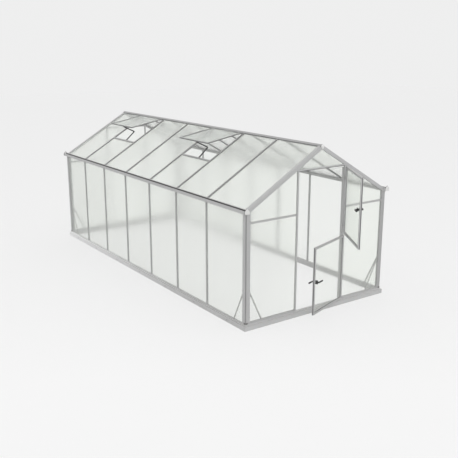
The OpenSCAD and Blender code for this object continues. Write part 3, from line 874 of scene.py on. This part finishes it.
class Fastenings(Maker):
    """Screw and bolt heads on washers, set on points that each carry a direction."""

    def __init__(self, steel: Material) -> None:
        """Builds the tree once.

        Args:
            steel: Material of the heads.
        """
        self.steel = steel
        super().__init__("fastening_heads", {
            "Head Radius": "Float", "Head Height": "Float", "Head Sides": "Int", "Washer Radius": "Float",
        })
        graph, given = self.graph, self.given
        taper, washer_share = 0.72, 0.3
        head = graph.out("GeometryNodeMeshCone", {
            "Vertices": given["Head Sides"], "Radius Bottom": given["Head Radius"],
            "Radius Top": graph.times(given["Head Radius"], taper), "Depth": given["Head Height"],
        }, "Mesh")
        depth = graph.times(given["Head Height"], washer_share)
        size = {"Vertices": 16, "Radius": given["Washer Radius"], "Depth": depth}
        washer = graph.out("GeometryNodeMeshCylinder", size, "Mesh")
        lift = graph.out("ShaderNodeCombineXYZ", {2: graph.times(depth, 0.5)})
        washer = graph.out("GeometryNodeTransform", {"Geometry": washer, "Translation": lift})
        both = graph.add("GeometryNodeJoinGeometry")
        for shape in (head, washer):
            graph.feed(both.inputs[0], shape)
        kept = {"Name": "facing"}
        facing = graph.out("GeometryNodeInputNamedAttribute", kept, "Attribute", data_type="FLOAT_VECTOR")
        turn = graph.out("FunctionNodeAlignRotationToVector", {"Vector": facing}, axis="Z")
        spread = {"Points": given["Geometry"], "Instance": both.outputs[0], "Rotation": turn}
        self.end(graph.out("GeometryNodeInstanceOnPoints", spread))

    def place(
        self, name: str, heads: Heads, radius: float, height: float, sides: int = 12, washer: float = 0.0,
    ) -> None:
        """Sets heads on the house.

        Args:
            name: Name of the piece.
            heads: Place and outward direction of each head.
            radius: Radius of a head.
            height: Height of a head.
            sides: Sides of a head, 6 for a hexagon bolt.
            washer: Radius of the washer under a head, if not a quarter more than the head's.
        """
        mesh = bpy.data.meshes.new(name)
        mesh.from_pydata([tuple(place) for place, _ in heads], [], [])
        facing = mesh.attributes.new("facing", "FLOAT_VECTOR", "POINT")
        facing.data.foreach_set("vector", [c for _, outward in heads for c in outward])
        piece = self.run(mesh, {
            "Head Radius": radius, "Head Height": height, "Head Sides": sides,
            "Washer Radius": washer or radius * 1.25, "Material": self.steel,
        })
        finish_piece(piece)


class Seals(Maker):
    """Round beads, swept along the edges of sheets and grooves."""

    def __init__(self) -> None:
        """Builds the tree once."""
        super().__init__("seal_beads", {"Bead Radius": "Float", "Bead Sides": "Int"})
        line = self.graph.out("GeometryNodeMeshToCurve", {0: self.given["Geometry"]})
        size = {"Resolution": self.given["Bead Sides"], "Radius": self.given["Bead Radius"]}
        ring = self.graph.out("GeometryNodeCurvePrimitiveCircle", size)
        sweep = {"Curve": line, "Profile Curve": ring, "Fill Caps": True}
        self.end(self.graph.out("GeometryNodeCurveToMesh", sweep))

    def sweep(
        self, name: str, line: Line, rubber: Material, radius: float, sides: int = 8, body: Body = Body.HOUSE,
    ) -> None:
        """Sweeps a bead along edges and puts it on its body.

        Args:
            name: Name of the piece.
            line: Points, and pairs of their numbers.
            rubber: Material of the bead.
            radius: Radius of the bead.
            sides: Sides of the bead.
            body: Body that it rides on.
        """
        points, pairs = line
        mesh = bpy.data.meshes.new(name)
        mesh.from_pydata([tuple(point) for point in points], pairs, [])
        piece = self.run(mesh, {"Bead Radius": radius, "Bead Sides": sides, "Material": rubber})
        work = bmesh.new()
        work.from_mesh(piece.data)
        bmesh.ops.recalc_face_normals(work, faces=work.faces)
        work.to_mesh(piece.data)
        work.free()
        finish_piece(piece, body=body)


# ---- sub-assemblies ----


@dataclass
class SubAssembly:
    """Part of the greenhouse with its finishes, fastenings and seals."""

    finishes: Finishes
    fastenings: Fastenings
    seals: Seals

    def coat(self, material: Material, *nodes: str) -> None:
        """Gives CAD nodes a material.

        Args:
            material: Material for the whole node.
            nodes: Names of the nodes.
        """
        for node in nodes:
            data = frame["nodes"][node].data
            data.materials.clear()
            data.materials.append(material)
            LOG.info("node %s: %s", node, material.name)

    def round_off(
        self, material: Material, *nodes: str, slot: Slot = Slot.ALUMINIUM, body: Body = Body.HOUSE,
        radius: float = 0.0015,
    ) -> None:
        """Puts copies with rounded edges in the place of CAD nodes.

        Args:
            material: Material of the copies.
            nodes: Names of the nodes.
            slot: Not used.
            body: Body that they ride on.
            radius: Radius of the edges.
        """
        for node in nodes:
            finish_piece(rounded(node, radius), material, body, (node,))


@dataclass
class Base(SubAssembly):
    """Base rail ring with its anchor bolts."""

    bolt_gap: float = 0.74
    bolt_height: float = 0.03
    bolt_size: tuple[float, ...] = (0.0065, 0.004, 6, 0.009)

    def build(self) -> None:
        """Rounds and coats the rails, and bolts them down."""
        metal = self.finishes.base
        self.round_off(metal[Run.ACROSS], "front_base_rail", "back_base_rail", slot=Slot.BASE)
        self.round_off(metal[Run.ALONG], "left_base_rail", "right_base_rail", slot=Slot.BASE)
        heads = []
        for node, sign in (("left_base_rail", -1), ("right_base_rail", 1)):
            low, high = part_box(node)
            face = low.x if sign < 0 else high.x
            count = int((high.y - low.y) / self.bolt_gap)
            for k in range(count):
                y = low.y + (k + 0.5) * (high.y - low.y) / count
                heads.append((Vector((face, y, self.bolt_height)), ACROSS * sign))
        self.fastenings.place("base_rail_bolts", heads, *self.bolt_size)


@dataclass
class Skeleton(SubAssembly):
    """Corner posts, bars, rafters, gable frames and braces."""

    post_edge: float = 0.0022
    rafter_edge: float = 0.002
    groove: float = 0.010
    bead_top: float = 1.448
    bead_share: float = 0.46
    shade_plug_inset: float = 0.018
    shade_plug_radii: tuple[float, float] = (0.027, 0.024)
    shade_plug_depth: float = 0.018
    stop_width: float = 0.003
    stop_depth: float = 0.022
    stop_gap: float = 0.03
    header_seal: float = 0.0075
    bar_inset: float = 0.03
    transom_inset: float = 0.02
    roof_inset: float = 0.035
    screw_size: tuple[float, float] = (0.0045, 0.0022)
    post_screw_size: tuple[float, float] = (0.005, 0.0026)
    post_screw_heights: tuple[float, ...] = (0.16, 0.5, 1.36)
    post_screw_inset: float = 0.06

    def build(self) -> None:
        """Rounds and coats the profiles, screws them together and trims them."""
        metal, gable, roof = self.finishes.metal, self.finishes.gable_metal_painted_light, self.finishes.roof_metal_painted_shade
        front_left, *others = CORNER_POSTS
        # Painted light: the front-left post, the door posts, transoms and rafters take the lighter gable
        # aluminium.
        self.round_off(gable[Run.UPRIGHT], front_left, radius=self.post_edge)
        self.round_off(metal[Run.UPRIGHT], *others, radius=self.post_edge)
        self.round_off(metal[Run.UPRIGHT], "left_wall_bars", "right_wall_bars")
        self.round_off(gable[Run.UPRIGHT], "door_posts", "back_wall_posts")
        self.round_off(gable[Run.RIGHT_SLOPE], "front_rafters", "back_rafters", radius=self.rafter_edge)
        # Painted shade: the roof bars take the darker roof aluminium.
        self.round_off(roof[Run.LEFT_SLOPE], "left_roof_bars")
        self.round_off(roof[Run.RIGHT_SLOPE], "right_roof_bars")
        self.round_off(gable[Run.ACROSS], "front_transoms", "back_transoms")
        # Painted light: the door header takes the lighter base metal.
        self.round_off(self.finishes.base[Run.ACROSS], "door_header")
        self.coat(metal[Run.UPRIGHT], "corner_braces")
        self.screw_bars()
        self.screw_posts()
        self.bead_corners()
        self.plug_and_shade_feet()
        self.line_doorway()

    def bar_heads(
        self, node: str, outward: Vector, run: Vector, inset: float, turn: Matrix = Matrix(),
    ) -> Heads:
        """Finds a place for a head near both ends of each bar of a node.

        Args:
            node: Name of the node.
            outward: Direction that the heads look in.
            run: Direction of the bars.
            inset: Distance of a head from the bar's end.
            turn: Matrix that lays the bars along the axes first.

        Returns:
            Place and outward direction of each head.
        """
        back = turn.inverted()
        heads = []
        for bar in solids(node, turn):
            face = bar.middle + outward * (abs(outward.dot(bar.size)) / 2)
            reach = run * (run.dot(bar.size) / 2 - inset)
            heads += [(back @ place, back.to_3x3() @ outward) for place in (face - reach, face + reach)]
        return heads

    def screw_bars(self) -> None:
        """Sets screws near both ends of wall bars, transoms and roof bars."""
        heads = self.bar_heads("left_wall_bars", -ACROSS, UP, self.bar_inset)
        heads += self.bar_heads("right_wall_bars", ACROSS, UP, self.bar_inset)
        heads += self.bar_heads("front_transoms", -ALONG, ACROSS, self.transom_inset)
        heads += self.bar_heads("back_transoms", ALONG, ACROSS, self.transom_inset)
        self.fastenings.place("frame_screws", heads, *self.screw_size)
        heads = self.bar_heads("left_roof_bars", UP, ACROSS, self.roof_inset, flattened(True))
        heads += self.bar_heads("right_roof_bars", UP, ACROSS, self.roof_inset, flattened(False))
        self.fastenings.place("roof_screws", heads, *self.screw_size)

    def corners(self, inset: float = 0.0) -> list[tuple[Vector, Vector]]:
        """Finds the foot of each corner post at its outer corner, or moved in from there.

        Args:
            inset: Distance that it is moved along X and along Y.

        Returns:
            Place, and the direction inward as signs, of each post.
        """
        found = []
        for node in CORNER_POSTS:
            low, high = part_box(node)
            inward = Vector((1 if low.x < 0 else -1, 1 if low.y < 1.0 else -1, 0))
            outer = Vector((low.x if inward.x > 0 else high.x, low.y if inward.y > 0 else high.y, low.z))
            found.append((outer + inward * inset, inward))
        return found

    def screw_posts(self) -> None:
        """Sets screws on both outer faces of the corner posts."""
        heads = []
        for outer, inward in self.corners():
            aside, along = ACROSS * inward.x, ALONG * inward.y
            for z in self.post_screw_heights:
                place = Vector((outer.x, outer.y, z))
                heads.append((place + aside * self.post_screw_inset, -along))
                heads.append((place + along * self.post_screw_inset, -aside))
        self.fastenings.place("post_screws", heads, *self.post_screw_size)

    def bead_corners(self) -> None:
        """Lays a bead in the groove of each corner post."""
        feet = [foot for foot, _ in self.corners(self.groove / 2)]
        line = segments([(foot + UP * NEAR, Vector((foot.x, foot.y, self.bead_top))) for foot in feet])
        rubber, radius = self.finishes.pale_rubber, self.groove * self.bead_share
        self.seals.sweep("corner_post_beads", line, rubber, radius, sides=10)

    def plug_and_shade_feet(self) -> None:
        """Sets a dark round plug at the foot of each corner post, as painted shade where the post meets the
        base.
        """
        work = bmesh.new()
        low, high = self.shade_plug_radii
        size = {"segments": 32, "radius1": low, "radius2": high, "depth": self.shade_plug_depth}
        for foot, _ in self.corners(self.shade_plug_inset):
            made = bmesh.ops.create_cone(work, cap_ends=True, **size)
            middle = foot + UP * (self.shade_plug_depth / 2 - LAP)
            bmesh.ops.translate(work, verts=made["verts"], vec=middle)
        rims = [edge for edge in work.edges if abs(edge.verts[0].co.z - edge.verts[1].co.z) < SAME_PLACE]
        bmesh.ops.bevel(work, geom=rims, offset=0.001, segments=2, affect="EDGES")
        finish_piece(object_from(work, "corner_post_plugs"), self.finishes.rubber)

    def line_doorway(self) -> None:
        """Adds the stop strip behind the hinge post and the seal along the header's lower edge."""
        post = solids("door_posts")[-1]
        low = Vector((post.low.x, post.high.y - NEAR, post.low.z + CLEAR))
        reach = Vector((self.stop_width, self.stop_depth, -self.stop_gap))
        high = Vector((post.low.x, post.high.y, post.high.z)) + reach
        stop = strip("doorway_stop_strip", low, high, edge=0.0008)
        finish_piece(stop, self.finishes.gable_metal_painted_light[Run.UPRIGHT])
        low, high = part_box("door_header")
        start = low + Vector((CLEAR, -0.0014, LAP))
        end = Vector((high.x - CLEAR, low.y + NEAR, low.z + self.header_seal))
        finish_piece(strip("door_header_seal", start, end, edge=0.0005), self.finishes.rubber)


@dataclass
class EavesAndRidge(SubAssembly):
    """Gutters, ridge beam, the white caps on their ends and the seals beside them, some partly painted shade.
    """

    cap_edge: float = 0.004
    beam_face: float = 1.1555
    shade_seal_low: float = 1.474
    shade_seal_high: float = 1.4927
    shade_seal_lap: float = 0.006
    shade_seal_wall: tuple[float, float] = (0.002, 0.0016)
    ridge_seal: tuple[float, float] = (0.004, 0.007)
    eave_strip: tuple[float, float] = (0.012, 0.0012)
    cap_beads: tuple[tuple[str, float], ...] = (("eave_caps", 0.0022), ("ridge_caps", 0.0026))
    shortest_rim: float = 0.004

    def build(self) -> None:
        """Rounds and coats gutters, ridge and caps, and seals them."""
        self.round_off(self.finishes.gutter, "left_gutter", "right_gutter")
        self.round_off(self.finishes.ridge, "ridge_beam")
        self.round_off(self.finishes.cap, "eave_caps", "ridge_caps", slot=Slot.CAP, radius=self.cap_edge)
        self.seal_and_shade_eaves()
        # The ridge strip is dark rubber, partly a seal and partly painted shade under the ridge beam.
        self.line_slopes(True, "ridge_seal", self.ridge_seal, self.finishes.rubber)
        self.line_slopes(False, "eave_strip", self.eave_strip, self.finishes.light_rubber)
        for node, radius in self.cap_beads:
            rims = outlines(node, ALONG, -ALONG, shortest=self.shortest_rim, inner=True)
            self.seals.sweep(f"{node}_seals", rims, self.finishes.black_rubber, radius, sides=6)

    def seal_and_shade_eaves(self) -> None:
        """Lays an angle of black rubber over the outer edge of each eave beam, partly a seal and partly
        painted shade for the dark gutter trough.
        """
        wall, roof = self.shade_seal_wall
        inner, face, outer = self.beam_face - self.shade_seal_lap, self.beam_face, self.beam_face + wall
        foot, under, over = self.shade_seal_low, self.shade_seal_high, self.shade_seal_high + roof
        section = [(inner, under), (face, under), (face, foot), (outer, foot), (outer, over), (inner, over)]
        for node, sign in (("left_gutter", -1), ("right_gutter", 1)):
            low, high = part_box(node)
            work = bmesh.new()
            ends = (low.y + CLEAR, high.y - CLEAR)
            skin(work, [[Vector((sign * x, y, z)) for x, z in section] for y in ends])
            bmesh.ops.recalc_face_normals(work, faces=work.faces)
            finish_piece(object_from(work, f"{node}_eave_seal"), self.finishes.black_rubber)

    def line_slopes(self, upper: bool, label: str, size: tuple[float, float], material: Material) -> None:
        """Lays a strip on the roof sheets along the ridge beam or the eaves.

        Args:
            upper: Whether the strip lies at the ridge.
            label: End of the strips' names.
            size: Width on the sheets and height over them.
            material: Finish of the strip.
        """
        width, height = size
        for node, left in (("left_roof_panels", True), ("right_roof_panels", False)):
            turn = flattened(left)
            sheets = solids(node, turn)
            at_high = left == upper
            ends = [sheet.high.x if at_high else sheet.low.x for sheet in sheets]
            last = max(ends) if at_high else min(ends)
            work = bmesh.new()
            for sheet, end in zip(sheets, ends):
                if abs(end - last) < 0.01:
                    start = end - width if at_high else end
                    low = Vector((start, sheet.low.y + NEAR, sheet.high.z - LAP))
                    prism(work, low, Vector((low.x + width, sheet.high.y - NEAR, sheet.high.z + height)))
            bmesh.ops.transform(work, matrix=turn.inverted(), verts=work.verts)
            finish_piece(object_from(work, f"{node}_{label}"), material)


@dataclass
class Glazing(SubAssembly):
    """Twin-wall sheets of walls, roof and gables."""

    wall_bead: float = 0.0022
    gable_bead: float = 0.0018
    roof_bead: float = 0.0024

    def build(self) -> None:
        """Coats the sheets, with their flutes upright or down the slope, and seals them."""
        # Painted shade: the left wall and roof sheets take the darker tint.
        self.coat(self.finishes.left_sheet_painted_shade, "left_wall_panels", "left_roof_panels")
        self.coat(self.finishes.right_sheet, "right_wall_panels", "right_roof_panels")
        self.coat(self.finishes.gable_sheet, "front_gable_panels", "back_gable_panels")
        pale, grey_rubber = self.finishes.pale_rubber, self.finishes.rubber
        for node, outward, rubber, radius in (
            ("left_wall_panels", -ACROSS, pale, self.wall_bead),
            ("right_wall_panels", ACROSS, pale, self.wall_bead),
            ("front_gable_panels", -ALONG, pale, self.gable_bead),
            ("back_gable_panels", ALONG, pale, self.gable_bead),
            ("left_roof_panels", leaning(-PITCH), grey_rubber, self.roof_bead),
            ("right_roof_panels", leaning(PITCH), grey_rubber, self.roof_bead),
        ):
            self.seals.sweep(f"{node}_seals", outlines(node, outward), rubber, radius)


@dataclass
class RoofVents(SubAssembly):
    """Curbs, sashes and openers of the two roof vents."""

    pane_bead: float = 0.0022
    opener_half: float = 0.007
    arm_radius: float = 0.0055
    tip_depth: float = 0.0008
    sleeve_radius: float = 0.0092
    sleeve_reach: tuple[float, float] = (0.06, 0.94)
    pivot_size: tuple[float, float] = (0.0055, 0.003)
    ridge_z: float = 2.14873
    pivots: tuple[tuple[float, float], ...] = ((0.669, 0.0), (0.476, 0.038))

    def build(self) -> None:
        """Rounds and coats the curbs, sashes and openers, and seals the panes."""
        sash = self.finishes.sash_metal_painted_shade
        self.round_off(self.finishes.metal[Run.ALONG], "vent_curbs")
        # Painted shade: the sash profiles take the darker sash aluminium.
        self.round_off(sash[Run.LEFT_SLOPE], "vent_sash_stiles")
        self.round_off(sash[Run.ALONG], "vent_sash_rails")
        self.coat(self.finishes.opener, "vent_openers")
        # Painted shade: the vent panes take the darker sash sheet.
        self.coat(self.finishes.sash_sheet_painted_shade, "vent_panes")
        rims = outlines("vent_panes", leaning(VENT_ANGLE - PITCH))
        self.seals.sweep("vent_panes_seals", rims, self.finishes.black_rubber, self.pane_bead)
        self.pin_openers()
        self.sleeve_openers()

    def joints(self, y: float) -> list[Vector]:
        """Finds an opener's foot and elbow over the left slope.

        Args:
            y: Place of the opener along the house.

        Returns:
            Both places.
        """
        sine, cosine = math.sin(PITCH), math.cos(PITCH)
        return [
            Vector((-(run * cosine + rise * sine), y, self.ridge_z - run * sine + rise * cosine))
            for run, rise in self.pivots
        ]

    def pin_openers(self) -> None:
        """Sets pivot heads on both sides of each opener's foot and elbow."""
        heads = []
        for opener in solids("vent_openers"):
            for joint in self.joints(opener.middle.y):
                heads += [(joint + side * self.opener_half, side) for side in (-ALONG, ALONG)]
        self.fastenings.place("opener_pivots", heads, *self.pivot_size)

    def sleeve_openers(self) -> None:
        """Puts a black sleeve round each arm of the openers."""
        work = merged_copy("vent_openers")
        arms = []
        for opener in solids("vent_openers"):
            y, top = opener.middle.y, opener.high.z
            near = [v.co for v in work.verts if abs(v.co.y - y) < opener.size.y / 2 + 0.01]
            tips = [co.x for co in near if co.z > top - self.tip_depth]
            head = Vector((sum(tips) / len(tips), y, top - self.arm_radius))
            foot, elbow = self.joints(y)
            for start, end in ((head, elbow), (elbow, foot)):
                arms.append(tuple(start.lerp(end, share) for share in self.sleeve_reach))
        work.free()
        line = segments(arms)
        self.seals.sweep("opener_sleeves", line, self.finishes.black, self.sleeve_radius, sides=14)


FLAT_DOME = ((0.0, 0.92), (0.1, 1.0), (0.45, 1.0), (0.72, 0.93), (0.9, 0.78), (1.0, 0.52), (1.02, 0.3))
TALL_DOME = (
    (0.0, 0.5), (0.35, 0.6), (0.55, 0.92), (0.66, 1.0), (0.76, 0.85), (0.9, 0.5), (1.0, 0.35), (1.02, 0.25),
)
GRIP = (
    (0.3, 0.0084, 0.0108), (0.6, 0.0086, 0.0112), (0.86, 0.0088, 0.0114),
    (0.95, 0.0074, 0.0096), (0.99, 0.0042, 0.0056), (1.0, 0.0015, 0.002),
)


@dataclass
class DoorLeaf(SubAssembly):
    """One leaf of the stable door with its seals, rosettes, knuckles and levers."""

    prefix: str = "lower"
    leaf: Body = Body.LOWER_LEAF
    handle: Body = Body.LOWER_HANDLE
    panel_bead: float = 0.002
    seal_width: float = 0.014
    seal_height: float = 0.0018
    rosette_size: tuple[float, float] = (0.036, 0.052)
    rosette_stand: float = 0.017
    front_stand: float = 0.027
    inner_stand: float = 0.053
    grip_length: float = 0.106
    inner_grip_length: float = 0.094
    inner_rosette: float = 0.017
    lever_bend: float = 0.012
    knuckle_sides: int = 20
    knuckle_distance: float = 0.2

    def __post_init__(self) -> None:
        """Finds the turn that takes the closed leaf to its place, and what the handles sit on."""
        joints = {joint["name"]: joint for joint in frame["joints"]}
        door = joints[f"{self.prefix}_door"]
        self.name = door["name"]
        self.turn_deg = -door["range_deg"][0]
        hinge = Vector(door["pos_m"])
        spin = Matrix.Rotation(math.radians(self.turn_deg), 4, "Z")
        self.turned = Matrix.Translation(hinge) @ spin @ Matrix.Translation(-hinge)
        self.spindle = self.turned.inverted() @ Vector(joints[f"{self.prefix}_lever"]["pos_m"])
        self.panel = solids(f"{self.name}_panel", self.turned.inverted())[0]

    def build(self) -> None:
        """Coats the leaf, seals it and dresses its handles."""
        name, finishes = self.name, self.finishes
        for part, run in (("stiles", Run.UPRIGHT), ("rails", Run.ACROSS)):
            metal = finishes.leaf_metal(f"{name}_aluminium_{run.name.lower()}", run, self.turn_deg)
            self.round_off(metal, f"{name}_{part}", body=self.leaf)
        self.coat(finishes.leaf_sheet(f"{name}_twin_wall", self.turn_deg), f"{name}_panel")
        for label, way in (("front", -ALONG), ("inner", ALONG)):
            rims = outlines(f"{name}_panel", self.turned.to_3x3() @ way)
            bead = (f"{name}_panel_{label}_seals", rims, finishes.rubber, self.panel_bead)
            self.seals.sweep(*bead, body=self.leaf)
        self.dome_fittings()
        self.shape_levers()
        self.seal_edge()

    def dome_fittings(self) -> None:
        """Puts domed rosettes and round hinge knuckles in the place of the plain ones."""
        work = bmesh.new()
        spindle, (width, height) = self.spindle, self.rosette_size
        for face, stand in ((self.panel.low.y, -self.rosette_stand), (self.panel.high.y, self.inner_rosette)):
            dome = TALL_DOME if stand > self.rosette_stand else FLAT_DOME
            path = [Vector((spindle.x, face + stand * part, spindle.z)) for part, _ in dome]
            tube(work, path, [(width / 2 * k, height / 2 * k) for _, k in dome], sides=28)
        for knuckle in solids(f"{self.name}_fittings", self.turned.inverted()):
            if knuckle.low.x > spindle.x + self.knuckle_distance:
                self.add_knuckle(work, knuckle)
        fittings = smooth_piece(work, f"{self.name}_fittings_domed", self.turned)
        finish_piece(fittings, self.finishes.black, self.leaf, replaced=(f"{self.name}_fittings",))

    def add_knuckle(self, work: BMesh, knuckle: Solid) -> None:
        """Adds one hinge knuckle with its leaf plate.

        Args:
            work: Working mesh, on the closed leaf.
            knuckle: Box of the plain knuckle.
        """
        radius, height = knuckle.size.y / 2, knuckle.size.z
        edge = plate = 0.0015
        foot = Vector((knuckle.high.x - radius, knuckle.middle.y, knuckle.low.z))
        levels = ((0.0, 0.86), (edge, 1.0), (height - edge, 1.0), (height, 0.86))
        ring = circle(self.knuckle_sides)
        skin(work, [[foot + Vector((radius * k * x, radius * k * y, z)) for x, y in ring] for z, k in levels])
        low = Vector((knuckle.low.x, foot.y - plate, knuckle.low.z))
        prism(work, low, Vector((foot.x, foot.y + plate, knuckle.high.z)))

    def shape_levers(self) -> None:
        """Puts smooth levers in the place of the plain ones and their spindle."""
        work = bmesh.new()
        self.add_lever(work, self.panel.low.y, -1, self.front_stand, self.grip_length)
        self.add_lever(work, self.panel.high.y, 1, self.inner_stand, self.inner_grip_length)
        levers = smooth_piece(work, f"{self.name}_levers_smooth", self.turned)
        plain = (f"{self.name}_levers", f"{self.name}_spindle")
        finish_piece(levers, self.finishes.black, self.handle, replaced=plain)

    def add_lever(self, work: BMesh, face: float, way: int, stand: float, length: float) -> None:
        """Adds one lever: a neck out of the rosette, a bend and a tapering grip.

        Args:
            work: Working mesh, on the closed leaf.
            face: Place of the panel's face along Y.
            way: Side of the leaf, -1 for the front; the grip points the other way along X.
            stand: Distance of the grip's middle from the panel.
            length: Reach of the grip from the spindle.
        """
        bend = self.lever_bend
        root = Vector((self.spindle.x, face, self.spindle.z))
        neck = stand - bend
        stations = [(0.0, 0.004, 0.0085, 0.0085), (0.0, self.rosette_stand * 0.9, 0.0085, 0.0085)]
        stations.append((0.0, neck, 0.0082, 0.0086))
        for turn in (math.radians(step) for step in (30, 60, 90)):
            stations.append((bend * (1 - math.cos(turn)), neck + bend * math.sin(turn), 0.0082, 0.0098))
        stations += [(bend + (length - bend) * part, stand, wide, high) for part, wide, high in GRIP]
        path = [root + Vector((-way * reach, way * out, 0)) for reach, out, _, _ in stations]
        tube(work, path, [(wide, high) for _, _, wide, high in stations])

    def seal_edge(self) -> None:
        """Adds the rubber seal on the outer half of the free stile's edge."""
        free = solids(f"{self.name}_stiles", self.turned.inverted())[0]
        low = Vector((free.low.x - self.seal_height, free.low.y + 0.003, free.low.z + CLEAR))
        high = Vector((free.low.x + LAP, free.low.y + self.seal_width, free.high.z - CLEAR))
        seal = strip(f"{self.name}_seal", low, high, edge=0.0007, turned=self.turned)
        finish_piece(seal, self.finishes.rubber, self.leaf)


@dataclass
class StableDoor(SubAssembly):
    """Both leaves and the hinge brackets on the door post."""

    def build(self) -> None:
        """Coats the brackets and builds the leaves."""
        self.coat(self.finishes.steel, "door_hinge_pins")
        kit = (self.finishes, self.fastenings, self.seals)
        DoorLeaf(*kit).build()
        upper = {"front_stand": 0.044, "inner_stand": 0.051, "inner_rosette": 0.030}
        DoorLeaf(*kit, "upper", Body.UPPER_LEAF, Body.UPPER_HANDLE, **upper).build()


# ---- studio ----


@dataclass
class Studio:
    """Floor, lamps, world and camera."""

    floor_half: float = 40.0
    key_strength: float = 1.0
    key_spread_deg: float = 50.0
    key_direction: tuple[float, float, float] = (0.45, 0.80, -0.38)
    fill_level: float = 0.90
    sky_level: float = 0.86
    lens_mm: float = 54.28
    camera_place: tuple[float, float, float] = (-5.7685, -6.2192, 3.3457)
    camera_right: tuple[float, float, float] = (0.817778, -0.575533, 0.000043)
    camera_up: tuple[float, float, float] = (0.148915, 0.211665, 0.965931)
    camera_back: tuple[float, float, float] = (-0.555934, -0.789911, 0.2588)

    def build(self) -> None:
        """Sets up the studio."""
        self.lay_floor()
        self.hang_lamp()
        self.light_world()
        self.aim_camera()

    def lay_floor(self) -> None:
        """Lays the floor under the base rails."""
        low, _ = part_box("front_base_rail")
        half = self.floor_half
        work = bmesh.new()
        corners = [(-half, -half), (half, -half), (half, half), (-half, half)]
        work.faces.new([work.verts.new((x, y, low.z - LAP)) for x, y in corners])
        floor = object_from(work, "studio_floor")
        floor.data.materials.append(FloorCoat().make())

    def hang_lamp(self) -> None:
        """Adds a soft key light."""
        lamp = bpy.data.lights.new("key_light", "SUN")
        lamp.energy = self.key_strength
        lamp.angle = math.radians(self.key_spread_deg)
        key = linked("key_light", lamp)
        key.rotation_euler = Vector(self.key_direction).to_track_quat("-Z", "Y").to_euler()

    def light_world(self) -> None:
        """Adds an even world that looks a little darker than it lights."""
        world = bpy.data.worlds.new("studio_world")
        bpy.context.scene.world = world
        world.use_nodes = True
        graph = Graph(world.node_tree)
        back = next(node for node in world.node_tree.nodes if node.type == "BACKGROUND")
        back.inputs["Color"].default_value = shade(grey(1.0))
        level = graph.remap(graph.seen(), (0.0, 1.0), (self.fill_level, self.sky_level))
        graph.feed(back.inputs["Strength"], level)

    def aim_camera(self) -> None:
        """Places the camera."""
        lens = bpy.data.cameras.new("camera")
        lens.sensor_width = 36.0
        lens.lens = self.lens_mm
        lens.clip_end = 200.0
        camera = linked("camera", lens)
        turn = Matrix((self.camera_right, self.camera_up, self.camera_back)).transposed().to_4x4()
        camera.matrix_world = Matrix.Translation(self.camera_place) @ turn
        bpy.context.scene.camera = camera


def main() -> None:
    """Builds every sub-assembly and the studio, and sets the Standard view transform."""
    logging.basicConfig(level=logging.INFO, format="%(name)s: %(message)s", stream=sys.stdout)
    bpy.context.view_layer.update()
    finishes = Finishes()
    kit = (finishes, Fastenings(finishes.steel), Seals())
    for part in (Base, Skeleton, EavesAndRidge, Glazing, RoofVents, StableDoor):
        LOG.info("building %s", part.__name__)
        part(*kit).build()
    Studio().build()
    bpy.context.scene.view_settings.view_transform = "Standard"


if __name__ == "__main__":
    main()
